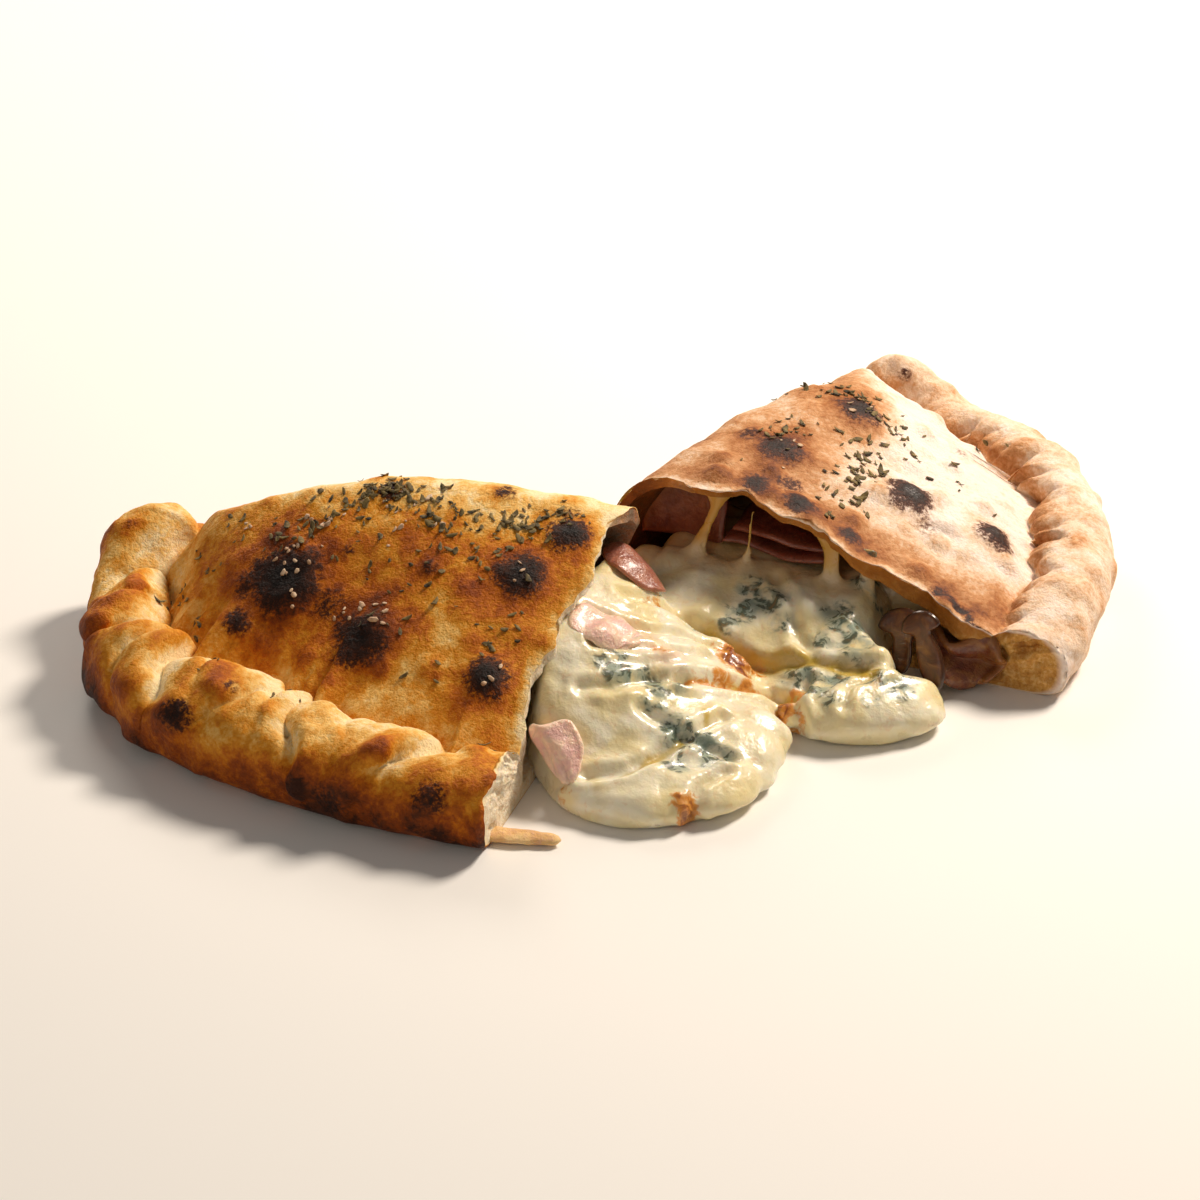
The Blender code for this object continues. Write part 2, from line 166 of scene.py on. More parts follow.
def joined(parts):
    # many skins as one, with their indices moved up
    points, faces, count = [], {}, 0
    for skin, groups in parts:
        points.append(skin)
        for group in groups:
            faces.setdefault(group.shape[1], []).append(group + count)
        count += len(skin)
    return np.vstack(points), [np.vstack(group) for group in faces.values()]


def skinMesh(points, faces):
    # points and groups of faces laid end to end in a mesh's own arrays, millimetres times 0.001
    mesh = bpy.data.meshes.new("skin")
    corners = np.concatenate([group.ravel() for group in faces]).astype(np.int32)
    sizes = np.concatenate([np.full(len(group), group.shape[1]) for group in faces])
    starts = np.concatenate([[0], np.cumsum(sizes)[:-1]]).astype(np.int32)
    mesh.vertices.add(len(points))
    mesh.vertices.foreach_set("co", (points * mm).ravel())
    mesh.loops.add(len(corners))
    mesh.loops.foreach_set("vertex_index", corners)
    mesh.polygons.add(len(sizes))
    mesh.polygons.foreach_set("loop_start", starts)
    mesh.update(calc_edges=True)
    return mesh


def makePiece(name, mesh, material, replaced=(), marks=None):
    # one object at the origin that rides on the only body; marks are numbers kept at its points
    mesh.name = name
    for label, values in (marks or {}).items():
        layer = mesh.attributes.new(label, "FLOAT", "POINT")
        layer.data.foreach_set("value", values.ravel().astype(np.float32))
    mesh.polygons.foreach_set("use_smooth", np.ones(len(mesh.polygons), bool))
    mesh.materials.clear()
    mesh.materials.append(material)
    piece = bpy.data.objects.new(name, mesh)
    bpy.context.scene.collection.objects.link(piece)
    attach(piece, "root")
    if replaced:
        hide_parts(*replaced)
    print(f"{name}: {sum(len(p.vertices) - 2 for p in mesh.polygons)} triangles")


def colour(text):
    # sRGB hex to linear: c / 12.92 when dark, ((c + 0.055) / 1.055)^2.4 otherwise
    values = [int(text[k : k + 2], 16) / 255 for k in (1, 3, 5)]
    return tuple(c / 12.92 if c <= 0.04045 else ((c + 0.055) / 1.055) ** 2.4 for c in values) + (1.0,)


def fillSockets(node, values):
    # each socket named gets a link from another node's socket, or a plain number or colour
    for key, value in values.items():
        if isinstance(value, bpy.types.NodeSocket):
            node.id_data.links.new(value, node.inputs[key])
        else:
            node.inputs[key].default_value = value


nodeKinds = {  # Blender's name, fixed settings, the sockets that values fill in turn, the output
    "noise": ("TexNoise", {}, ("Vector", "Scale", "Detail", "Roughness", "Distortion"), "Fac"),
    "mark": ("Attribute", {}, (), "Fac"),
    "add": ("Math", {"operation": "ADD"}, (0, 1), 0),
    "times": ("Math", {"operation": "MULTIPLY"}, (0, 1), 0),
    "range": ("MapRange", {"interpolation_type": "SMOOTHSTEP"},
              ("Value", "From Min", "From Max", "To Min", "To Max"), 0),
    "ramp": ("ValToRGB", {}, ("Fac",), "Color"),
    "mix": ("Mix", {"data_type": "RGBA", "clamp_factor": True}, (0, 6, 7), 2),
    "bump": ("Bump", {}, ("Height", "Distance", "Strength"), 0),
}


def addNode(tree, kind, *values, stops=(), **settings):
    # one node with its settings and links; stops are a ramp's (place, hex) pairs
    name, fixed, sockets, output = nodeKinds[kind]
    node = tree.nodes.new("ShaderNode" + name)
    for key, value in {**fixed, **settings}.items():
        setattr(node, key, value)
    fillSockets(node, dict(zip(sockets, values)))
    while stops and len(node.color_ramp.elements) < len(stops):
        node.color_ramp.elements.new(0.5)
    for place, (where, text) in enumerate(stops):
        node.color_ramp.elements[place].position = where
        node.color_ramp.elements[place].color = colour(text)
    return node.outputs[output]


def newMaterial(name):
    # a material, the call that adds a node to it, its shader, and each point's own place
    material = bpy.data.materials.new(name)
    material.use_nodes = True
    tree = material.node_tree
    place = tree.nodes.new("ShaderNodeTexCoord").outputs["Object"]
    return material, partial(addNode, tree), tree.nodes["Principled BSDF"], place


# Wheat dough baked on a hot stone. The skin dries matt and goes from cream to brown as its sugars
# brown. The thin blisters char to near black with a purple-brown halo and a fine grain, and oil gives a
# low sheen. The torn crumb is pale, soft and open.
goldenCrust = {
    "stops": [(0, "#f8e2b2"), (0.2, "#ecbc68"), (0.38, "#d78d20"), (0.56, "#b96306"), (0.74, "#8a3e03"),
              (1, "#361503")],
    "charStops": [(0, "#80400e"), (0.3, "#552608"), (0.6, "#2c1206"), (1, "#100704")],
    "crumbStops": [(0.3, "#e4c79c"), (0.5, "#f2e2c4"), (0.75, "#fbf5e8")],
    "amber": "#c07f28",  # oiled crumb
    "ashAndSheen": 0.0,  # grey bloom on the worst char: ash, and painted sheen
    "mottle": 0.12,  # unevenness of the browning
    "sheen": 0.18,
}
paleCrust = {
    "stops": [(0, "#f7e6da"), (0.2, "#e8c8a9"), (0.38, "#cc9360"), (0.56, "#a86730"), (0.74, "#763c16"),
              (1, "#36180b")],
    "charStops": [(0, "#8a4724"), (0.3, "#5e2f1c"), (0.6, "#33190f"), (1, "#170d0a")],
    "crumbStops": [(0.3, "#b3742a"), (0.5, "#d39a4a"), (0.75, "#ecc684")],
    "amber": "#a8661a",
    "ashAndSheen": 0.75,
    "mottle": 0.08,
    "sheen": 0.3,
}


def crustMaterial(name, finish):
    # marks plus noise choose a place on each ramp: toasted skin, char over it, ash, then torn crumb
    material, node, shader, place = newMaterial(name)
    mottle = node("noise", place, perMetre / 8, 4.0, 0.6, 0.3)
    grain = node("noise", place, perMetre / 1.5, 4.0, 0.65)
    dust = node("noise", place, perMetre / 0.7, 2.0, 0.6)
    burning = node("mark", attribute_name="char")
    uneven = node("range", mottle, 0.3, 0.7, -finish["mottle"], finish["mottle"])
    # the toast mark carries browning, and also the painted shade and painted highlight laid on in
    # buildCrust
    toast = node("add", node("mark", attribute_name="toast"), uneven)
    toast = node("add", toast, node("range", grain, 0.25, 0.75, -0.09, 0.09), use_clamp=True)
    skin = node("ramp", toast, stops=finish["stops"])
    coarse, powder = node("range", grain, 0.3, 0.7, -0.2, 0.2), node("range", dust, 0.3, 0.7, -0.1, 0.1)
    rough = node("times", node("add", coarse, powder), node("range", burning, 0.03, 0.3))
    char = node("add", burning, rough, use_clamp=True)
    burnt = node("ramp", char, stops=finish["charStops"])
    skin = node("mix", node("range", char, 0.04, 0.42), skin, burnt)
    # grey over the worst char: ash, and painted sheen
    ashAndSheen = node("range", burning, 0.82, 1.1, 0.0, finish["ashAndSheen"])
    skin = node("mix", node("times", node("range", dust, 0.4, 0.7), ashAndSheen), skin, colour("#9d9899"))
    oiled = node("range", node("mark", attribute_name="glow"), 0.0, 1.0)
    crumb = node("mix", oiled, node("ramp", grain, stops=finish["crumbStops"]), colour(finish["amber"]))
    fine = node("add", grain, node("times", dust, 0.45))
    fillSockets(shader, {
        "Base Color": node("mix", node("mark", attribute_name="crumb"), skin, crumb),
        "Roughness": node("range", char, 0.2, 0.8, 0.58, 0.5),
        "Normal": node("bump", fine, 0.62 * mm, 1.0),
        "Specular IOR Level": finish["sheen"],
        "Subsurface Weight": 0.1,
        "Subsurface Radius": (1.0, 0.45, 0.2),
        "Subsurface Scale": 2.5 * mm,
    })
    return material


# Melted blue-veined cow's milk cheese. It is translucent and wet with its own butterfat, so light goes
# in and comes back warm, and highlights are sharp. The mould veins stay blue-grey, and it browns where
# it was nearest the fire.
def cheeseMaterial():
    # cream paste with a layer for each mark laid over the last, its share broken up by noise
    material, node, shader, place = newMaterial("meltedBlueCheese")
    broad = node("noise", place, perMetre / 20, 3.0, 0.5, 0.6)
    marble = node("noise", place, perMetre / 6, 3.0, 0.5, 0.5)
    flecks = node("noise", place, perMetre / 3.4, 3.0, 0.6, 0.7)
    grain = node("noise", place, perMetre / 1.8, 2.0, 0.5)
    names = ("butterAndShade", "pink", "vein", "oil", "brown")
    butterAndShade, pink, vein, oil, brown = (node("mark", attribute_name=name) for name in names)
    mould = node("times", node("range", flecks, 0.42, 0.6), node("range", vein, 0.1, 0.6))
    mould = node("times", mould, node("range", marble, 0.38, 0.56, 0.1, 1.0))
    oil = node("add", oil, node("range", broad, 0.3, 0.7, -0.2, 0.2))
    burn = node("add", brown, node("range", flecks, 0.3, 0.7, -0.3, 0.3))
    layers = (
        (node("range", broad, 0.36, 0.64), "#e8d8a6"),  # yellower paste
        # butterfat yellow, and painted shade inside the right half and under its lip
        (node("range", butterAndShade, 0.0, 1.0), "#c99b48"),
        (node("range", pink, 0.0, 1.0, 0.0, 0.4), "#e3b09a"),  # ham under the surface
        (node("times", vein, node("range", marble, 0.34, 0.58)), "#8d9b8c"),  # stain round a vein
        (node("range", mould, 0.1, 0.9, 0.0, 0.9), "#44513f"),
        (node("range", oil, 0.15, 0.95, 0.0, 0.85), "#c4a22e"),
        (node("range", burn, 0.15, 0.65), "#d58f3a"),
        (node("range", burn, 0.6, 1.15), "#843c14"),
    )
    body = colour("#efe8cf")
    for share, text in layers:
        body = node("mix", share, body, colour(text))
    fillSockets(shader, {
        "Base Color": body,
        "Roughness": node("range", marble, 0.3, 0.7, 0.25, 0.42),
        "Normal": node("bump", node("add", marble, node("times", grain, 0.5)), 0.55 * mm, 0.85),
        "Subsurface Weight": 0.45,
        "Subsurface Radius": (1.0, 0.72, 0.38),
        "Subsurface Scale": 3.0 * mm,
        "Coat Weight": 0.45,
        "Coat Roughness": 0.14,
    })
    return material


# Cooked pork ham, cut thin and warmed: wet, pink and slightly translucent, with a paler rim and a faint
# grain. The shaded and inside copies are the same ham darkened as painted shade; the browned copy is
# browned ham.
hamFinishes = {  # lean, rim
    "cookedHam": ("#eabcb2", "#f7d5ba"),
    # the next two are the same ham darkened as painted shade
    "cookedHamShaded": ("#8f5347", "#b0745c"),
    "cookedHamInsideShaded": ("#6f2c20", "#8c4a34"),
    "cookedHamBrowned": ("#6e3218", "#97602c"),
}


def hamMaterial(name, lean, rim):
    # lean and rim colours mixed by noise patches, then by nearness to the edge
    material, node, shader, place = newMaterial(name)
    patches = node("noise", place, perMetre / 6, 4.0, 0.6, 1.0)
    fibre = node("noise", place, perMetre / 1.4, 3.0, 0.6)
    edge = node("range", node("mark", attribute_name="edge"), 0.1, 0.9, 0.0, 0.85)
    meat = node("mix", node("range", patches, 0.35, 0.65), colour(lean), colour(rim))
    fillSockets(shader, {
        "Base Color": node("mix", edge, meat, colour(rim)),
        "Roughness": 0.3,
        "Normal": node("bump", node("add", patches, fibre), 0.6 * mm, 0.9),
        "Subsurface Weight": 0.3,
        "Subsurface Radius": (1.0, 0.4, 0.3),
        "Subsurface Scale": 2.5 * mm,
        "Coat Weight": 0.35,
        "Coat Roughness": 0.2,
    })
    return material


# Sliced mushroom cooked down: brown, limp, oily, darkest at the gills and the cap's skin
def mushroomMaterial():
    # noise patches through a brown ramp, darkened towards the edge
    material, node, shader, place = newMaterial("cookedMushroom")
    patches = node("noise", place, perMetre / 5, 4.0, 0.6, 0.8)
    flesh = node("ramp", patches, stops=[(0.3, "#3c1d08"), (0.5, "#653710"), (0.75, "#8e5c22")])
    edge = node("range", node("mark", attribute_name="edge"), 0.2, 1.0, 0.0, 0.9)
    fillSockets(shader, {
        "Base Color": node("mix", edge, flesh, colour("#2f1606")),
        "Roughness": 0.28,
        "Normal": node("bump", patches, 0.5 * mm, 0.8),
        "Subsurface Weight": 0.2,
        "Subsurface Scale": 2 * mm,
        "Coat Weight": 0.2,
        "Coat Roughness": 0.12,
    })
    return material


# Dried oregano leaf and semolina grain: small dry matt scraps
def scrapMaterial(name, low, high, size, rough):
    # two colours mixed by noise of that size
    material, node, shader, place = newMaterial(name)
    tone = node("noise", place, perMetre / size, 3.0, 0.6)
    fillSockets(shader, {
        "Base Color": node("ramp", tone, stops=[(0.35, low), (0.65, high)]),
        "Roughness": rough,
        "Normal": node("bump", tone, 0.2 * mm, 0.6),
    })
    return material


# Each half has its own plan frame: "along" runs down the torn face from the folded edge to the rim, and
# "into" runs from the torn face into the half.
leftHalf = {  # the near, browner half
    "name": "left",
    "corner": (8.76, -2.56),  # folded edge meets torn face
    "heading": -109.9,  # direction of "along"
    "turn": -1,  # side of "along" that the half lies on
    "reach": 134.5,  # folded edge to rim, along the torn face
    "depth": 164.0,  # torn face to the far end of the rim
    "tip": 43.0,  # along, where the rim ends
    "rope": 15.0,  # half the width of the rolled rim
    "ropeRise": 13.5,  # half its height
    "tipRise": 4.5,  # added to it at the tip
    "ridge": 20.0,  # folded edge to the highest line
    "tornHeight": 53.0,  # of the dome at the torn face
    "swell": 7.0,  # added half way to the tip
    "tipHeight": 31.0,
    "crease": 15.5,  # height of the valley inside the rim
    "fall": 1.4,  # how the dome falls from ridge to crease
    "bow": 5.0,  # how far the folded edge curves out
    "power": 3.0,  # of the superellipse that the rim follows
    # pinched folds: along the rim, and how deep
    "crimps": ((31, 0.60), (49, 0.22), (65, 0.62), (90, 0.26), (118, 0.62), (135, 0.36), (153, 0.56),
               (178, 0.42)),
    "folds": ((41, 0.06), (77, 0.14), (103, 0.12), (127, 0.08), (165, 0.14), (12, 0.03)),  # shallower
    "crimpFrom": (-0.6, 1.5),  # angles round the rim where the crimps deepen, 0 at its outer side
    "pleats": (9.0, 0.03),  # fine folds on the rim's inner side: spacing, depth
    "thick": 88.0,  # along the rim to where it is widest
    # along, and how far in the torn lip lies
    "tear": ((5, -3), (19, -3.5), (25, 0.5), (34, -1.5), (40, -1), (46, -2), (55, -0.5), (61, 2),
             (68, 0), (74, 3.2), (80, 3.5), (87, 3), (93, 1), (101, 0)),
    "toast": 0.47,  # how brown the skin is overall
    # added from the fold (0) down the dome to the rim (1): browning, and a painted highlight that pales
    # the left half's ridge
    "slopeToastAndPaintedLight": ((0, 0.04), (0.03, -0.04), (0.1, -0.42), (0.25, -0.33), (0.42, -0.06), (0.7, -0.05),
                   (0.88, -0.14), (1, -0.14)),
    "rimToast": 0.44,
    "crestToast": 0.28,  # added on blisters of the rim
    "lobeToast": 0.9,  # and as much again for each lobe's height
    "lump": 1.5,  # mm that the rim's blisters stand up
    "creaseToastAndShade": -0.30,  # added on the rim's inner side, between these angles: paler dough when negative, painted shade in the crease when positive
    "creaseFrom": (1.3, 2.5),
    "undersideToastAndShade": 0.44,  # added on the outer, lower side of the rim: browner baking there, and painted shade
    "lipToast": 0.0,  # added near the torn lip
    "wallBack": 6.0,  # how far the torn wall under the folded edge lies behind the lip
    "bubbles": 0.9,  # mm that round bubbles in the skin stand up
    "patches": 0.15,  # how uneven the browning is
    "paleLitSide": 0.0,  # how much paler the dome is towards the rim on its far side: painted light where the key lamp falls, over paler baking
    "crumbDepth": 1.3,  # mm that the torn crumb is rough
    "lipThin": ((0, 3.0), (20, 2.6), (40, 2.2)),  # along, and how much thinner the crust is torn there
    "glow": 0.15,  # how much oil has turned the torn lip amber
    "crack": (),  # line in plan where the skin has split
    "seed": 3,
    "spots": (  # along, into, up, radius, how dark, how far the blister stands up
        (65, 89, 37, 13.6, 1.15, 1.6), (80, 58, 31, 10.6, 0.95, 1.5), (84, 16, 28, 8.2, 0.95, 2.2),
        (52, 18, 46, 9.3, 1.0, 1.5), (34, 9, 51, 7.8, 1.0, 1.2), (25, 33, 57, 5.0, 0.55, 0.6),
        (57, 45, 45, 3.4, 0.55, 0.8), (77, 99, 26, 6.1, 0.6, 0.4), (34, 67, 56, 6.0, 0.6, 0.4),
        (55, 72, 45, 3.0, 0.45, 0.3), (26, 12, 53, 5.5, 0.4, 0.4), (70, 72, 34, 8.0, 0.4, 0.0),
        (121, 99, 20, 6.5, 0.7, 0.4), (131, 46, 9, 8.0, 0.75, 0.3), (45, 151, 33, 3.0, 0.35, 0.2),
        (131, 15, 17, 7.0, 0.5, 0.2), (111, 86, 26, 3.6, 0.35, 0.2), (66, 100, 32, 6.0, 0.5, 0.0)),
}
rightHalf = {  # the far, paler half: the same entries
    "name": "right",
    "corner": (-0.84, 13.34),
    "heading": -22.0,
    "turn": 1,
    "reach": 154.0,
    "depth": 147.0,
    "tip": 60.0,
    "rope": 13.5,
    "ropeRise": 13.0,
    "tipRise": 6.0,
    "ridge": 25.0,
    "tornHeight": 51.0,
    "swell": 2.0,
    "tipHeight": 37.0,
    "crease": 18.0,
    "fall": 1.6,
    "bow": 6.0,
    "power": 2.8,
    "crimps": ((14, 0.25), (38, 0.5), (53, 0.6), (70, 0.45), (87, 0.6), (102, 0.5), (116, 0.6),
               (130, 0.45), (148, 0.55), (171, 0.3)),
    "folds": ((46, 0.08), (61, 0.10), (79, 0.09), (95, 0.08), (109, 0.08), (123, 0.07), (139, 0.08)),
    "crimpFrom": (1.45, 2.6),
    "pleats": (8.0, 0.12),
    "thick": 150.0,
    "tear": ((5, -1), (24, -1), (33, -3), (38, -2), (45, 4.5), (52, 1), (58, -1.5), (64, 1.5), (72, 1),
             (80, -3.5), (88, -2.5), (95, -1.5), (107, -1), (118, -4), (124, -2), (132, 0)),
    "toast": 0.40,
    "slopeToastAndPaintedLight": ((0, 0.04), (0.15, 0.0), (0.5, 0.0), (0.8, -0.02), (0.95, 0.06), (1, 0.2)),
    "rimToast": 0.2,
    "crestToast": 0.10,
    "lobeToast": 0.25,
    "lump": 0.8,
    "creaseToastAndShade": 0.34,
    "creaseFrom": (1.8, 2.7),
    "undersideToastAndShade": 0.02,
    "lipToast": 0.1,
    "wallBack": 0.0,
    "bubbles": 2.1,
    "patches": 0.12,
    "paleLitSide": 0.48,
    "crumbDepth": 2.6,
    "lipThin": ((0, 2.6), (78, 2.4), (88, 0.0), (118, -0.5), (130, 0.5)),
    "glow": 0.75,
    "crack": ((108, 2), (112, 4), (115, 0), (118, 2), (121, -3), (126, -2)),
    "seed": 11,
    "spots": (
        (61, 68, 47, 9.5, 0.85, 2.2), (47, 30, 50, 9.5, 0.85, 1.8), (47, 9, 48, 5.6, 0.9, 0.9),
        (62, 7, 46, 6.4, 0.9, 1.2), (88, 38, 39, 8.8, 1.15, 2.4), (115, 44, 27, 8.2, 1.15, 2.4),
        (80, 5, 42, 5.2, 0.85, 0.8), (92, 87, 33, 6.1, 0.3, 0.6), (139, 53, 23, 3.4, 0.5, 0.3),
        (110, 3, 31, 5.4, 0.8, 0.5), (89, 15, 39, 3.2, 0.4, 0.4), (58, 128, 33, 3.6, 0.4, 0.3),
        (21, 29, 49, 4.5, 0.4, 0.3), (56, 16, 48, 6.5, 0.45, 0.6), (36, 34, 50, 5.0, 0.45, 0.4),
        (98, 30, 36, 9.0, 0.25, 0.0)),
}
crustWall = 5.0  # thickness of the baked dough
crustFloor = 4.5
cavityEnd = 0.84  # of the way to the tip
wallPower = 2.8  # of the superellipse that the dome's back wall follows

crustCounts = {  # points on the grid: sections, then round one section, then across the tear and inside
    "stations": 330,
    "wall": 26,
    "slope": 66,
    "rope": 68,
    "under": 12,
    "torn": 22,
    "inner": 34,
    "end": 9,
}


def planFrame(half):
    # corner of a half, the unit vector down its torn face, and the one at right angles into it
    angle = math.radians(half["heading"])
    along = np.array([math.cos(angle), math.sin(angle)])
    into = half["turn"] * np.array([-along[1], along[0]])
    return np.array(half["corner"]), along, into


def toWorld(half, local):
    # along, into and up become x, y and z
    corner, along, into = planFrame(half)
    plan = corner + local[..., :1] * along + local[..., 1:2] * into
    return np.concatenate([plan, local[..., 2:]], axis=-1)


def inHalf(half, a, b, z):
    # the same for three arrays of numbers, spread to one shape
    return toWorld(half, np.stack(np.broadcast_arrays(a, b, z), axis=-1).astype(float))


def rimCurve(half, u):
    # superellipse a = reach cos^(2/power), b = depth sin^(2/power), spaced by arc length from the tear
    tipAngle = math.acos((half["tip"] / half["reach"]) ** (half["power"] / 2))
    angle = tipAngle * np.linspace(0, 1, 2001) ** 1.6
    a = half["reach"] * np.cos(angle) ** (2 / half["power"])
    b = half["depth"] * np.sin(angle) ** (2 / half["power"])
    a = a - 3 * np.exp(-b / 18)
    run = np.concatenate([[0], np.cumsum(np.hypot(np.diff(a), np.diff(b)))])
    return np.interp(u * run[-1], run, a), np.interp(u * run[-1], run, b), run[-1]


def foldCurve(half, u):
    # straight from the torn face towards the rim's end, bowed out by a sine
    a1, b1, _ = rimCurve(half, 1.0)
    length = math.hypot(a1, b1)
    f = u**0.9 * (1 - 2.3 * half["rope"] / length)
    bow = half["bow"] * np.sin(math.pi * f)
    return f * a1 - bow * b1 / length, f * b1 + bow * a1 / length


def halfSizes(half, u):
    # everything about the ribs at u: start, direction, length, run along the rim, rim and dome sizes
    foldA, foldB = foldCurve(half, u)
    rimA, rimB, total = rimCurve(half, u)
    length = np.hypot(rimA - foldA, rimB - foldB)
    run, tip = u * total, ease(u, 0.86, 1)
    rise = half["ropeRise"] - 2.5 * (1 - ease(u, 0, 0.2)) + half["tipRise"] * tip
    crease = half["crease"] + 10 * tip
    swell = half["swell"] * np.sin(math.pi * np.minimum(u / 0.9, 1))
    height = half["tornHeight"] + swell + (half["tipHeight"] - half["tornHeight"]) * u**2.2
    height = height + (crease + 1 - height) * ease(u, 0.9, 1)
    rope = half["rope"] + 2.5 * hill(run - half["thick"], 25)
    dirA, dirB = (rimA - foldA) / length, (rimB - foldB) / length
    values = dict(foldA=foldA, foldB=foldB, dirA=dirA, dirB=dirB, length=length, run=run, rope=rope,
                  rise=rise, crease=crease, height=height)
    return {key: np.asarray(value)[:, None] for key, value in values.items()}, total


def ropeLobes(half, total, run, angle):
    # Size of the rim, 1 on average: a lobe sin(pi t)^0.65 stands up between neighbouring crimps, which
    # run aslant round the rim, less a notch at each shallow fold. It dies out on the outer, lower side.
    crimps = [(-26.0, 0.0, 0.3)]  # where, slant, depth; the first and last lie past the rim's ends
    for i, (where, depth) in enumerate(half["crimps"]):
        crimps.append((where, 6 * math.sin(2.3 * i + 1), depth))
    crimps.append((total + 22.0, 0.0, 0.3))
    size = np.ones(np.broadcast_shapes(run.shape, angle.shape))
    shallow, deep = half["crimpFrom"]
    reach = ease(angle, shallow, deep)
    bent = run + 2.2 * np.sin(2.2 * angle + 0.11 * run)
    for i, (before, after) in enumerate(zip(crimps, crimps[1:])):
        low, lowSlant, lowDepth = before
        high, highSlant, highDepth = after
        start, end = low - lowSlant * (angle - 1), high - highSlant * (angle - 1)
        t = (bent - start) / (end - start)
        inside = (t >= 0) & (t < 1)
        t = np.clip(t, 0, 1)
        lobe = np.sin(math.pi * t ** (0.8 + 0.25 * math.sin(4.1 * i))) ** 0.65
        depth = lowDepth + (highDepth - lowDepth) * ease(t, 0.3, 0.7)
        proud = 0.07 * math.sin(5.3 * i + 0.6)
        size = np.where(inside, 1 + (depth * (lobe - 0.8) + proud * lobe) * reach, size)
    for i, (middle, depth) in enumerate(half["folds"]):
        slant = 7 * math.sin(1.7 * i + 2)
        notch = hill(run - middle + slant * (angle - 1.4), 2.2 + 0.8 * math.sin(3 * i))
        size = size - depth * notch * ease(angle, shallow + 0.5, deep + 0.3)
    spacing, depth = half["pleats"]
    fine = np.abs(np.sin(math.pi * run / spacing + 1.3 * np.sin(run / 9) + 0.8 * angle))
    return size + depth * (fine - 0.7) * ease(angle, deep - 0.9, deep - 0.1)


def squared(value, power):
    # sine or cosine of a superellipse: |value|^(2/power) with the sign kept
    return np.sign(value) * np.abs(value) ** (2 / power)


def domeLine(height, crease, ridge, span, fall, counts):
    # quarter superellipse up to the ridge, then a power curve down to the crease
    theta = 0.5 * math.pi * np.linspace(0, 1, counts["wall"])[None, :] ** 1.35
    t = np.linspace(0, 1, counts["slope"] + 1)[None, 1:]
    wallX = ridge * (1 - np.cos(theta) ** (2 / wallPower))
    wallZ = height * np.sin(theta) ** (2 / wallPower)
    slopeX, slopeZ = ridge + (span - ridge) * t, crease + (height - crease) * (1 - t**fall)
    return np.hstack([wallX, slopeX]), np.hstack([wallZ, slopeZ])


def tornOffset(half, a):
    # how far the torn lip wanders, through the listed points, with short ripples on top
    places, pushes = np.array(half["tear"], float).T
    points = np.stack([a, 0 * a, 0 * a], axis=-1)
    torn = 1.5 * ripple(points, 7, half["seed"]) + 1.1 * ripple(points, 3.1, 5)
    torn += 0.6 * ripple(points, 1.4, 8)
    return np.interp(a, places, pushes) + torn


def alongRibs(half, s, u, x, z):
    # section points put on their ribs; above 15 mm the rows near the torn face follow its ragged line
    a = s["foldA"] + x * s["dirA"]
    ragged = tornOffset(half, a) * ease(z, 9, 17)
    ragged = ragged + half["wallBack"] * (1 - ease(x, 2, 13)) * (1 - ease(z, 30, 46))
    ragged = ragged * (1 - ease(u, 0, 0.1))[:, None]
    return np.stack([a, s["foldB"] + x * s["dirB"] + ragged, z], axis=-1)


def outerRows(half, u, counts):
    # dome, crimped rim and flat underside, with each point's angle round the rim (pi on the dome)
    s, total = halfSizes(half, u)
    start = math.pi - np.arcsin((s["crease"] - s["rise"]) / s["rise"])
    spread = np.linspace(0, 1, counts["rope"])[None, :]
    angle = start + (-math.pi / 2 - start) * spread
    size = ropeLobes(half, total, s["run"], angle)
    power = np.where(angle < 0, 3.2, 2.0)
    ropeX = s["length"] - s["rope"] + s["rope"] * size * squared(np.cos(angle), power)
    ropeZ = np.maximum(s["rise"] * (1 + size * squared(np.sin(angle), power)), 0)
    span = s["length"] + s["rope"] * (np.cos(start) - 1)
    ridge = np.minimum(half["ridge"], 0.45 * span)
    domeX, domeZ = domeLine(s["height"], s["crease"], ridge, span, half["fall"], counts)
    last = ease(domeX / span, 0.72, 1.0)
    # the folded edge's foot tucks in
    footIn = 4.5 * np.clip(1 - domeZ / 16, 0, 1) ** 2 * (domeX < ridge)
    domeX = domeX + (ropeX[:, :1] - span) * last + footIn
    domeZ = domeZ + (ropeZ[:, :1] - s["crease"]) * last
    underX = (s["length"] - s["rope"]) * np.linspace(1, 0, counts["under"] + 2)[None, 1:-1]
    x = np.hstack([domeX[:, :-1], ropeX, underX])
    z = np.hstack([domeZ[:, :-1], ropeZ, 0 * underX])
    turned = np.hstack([0 * domeX[:, :-1] + math.pi, angle, 0 * underX - math.pi / 2])
    share = np.hstack([domeX[:, :-1] / ropeX[:, :1], 0 * ropeX + 1, 0 * underX])
    run = s["run"] + 0 * x
    return alongRibs(half, s, u, x, z), turned, share, run, total


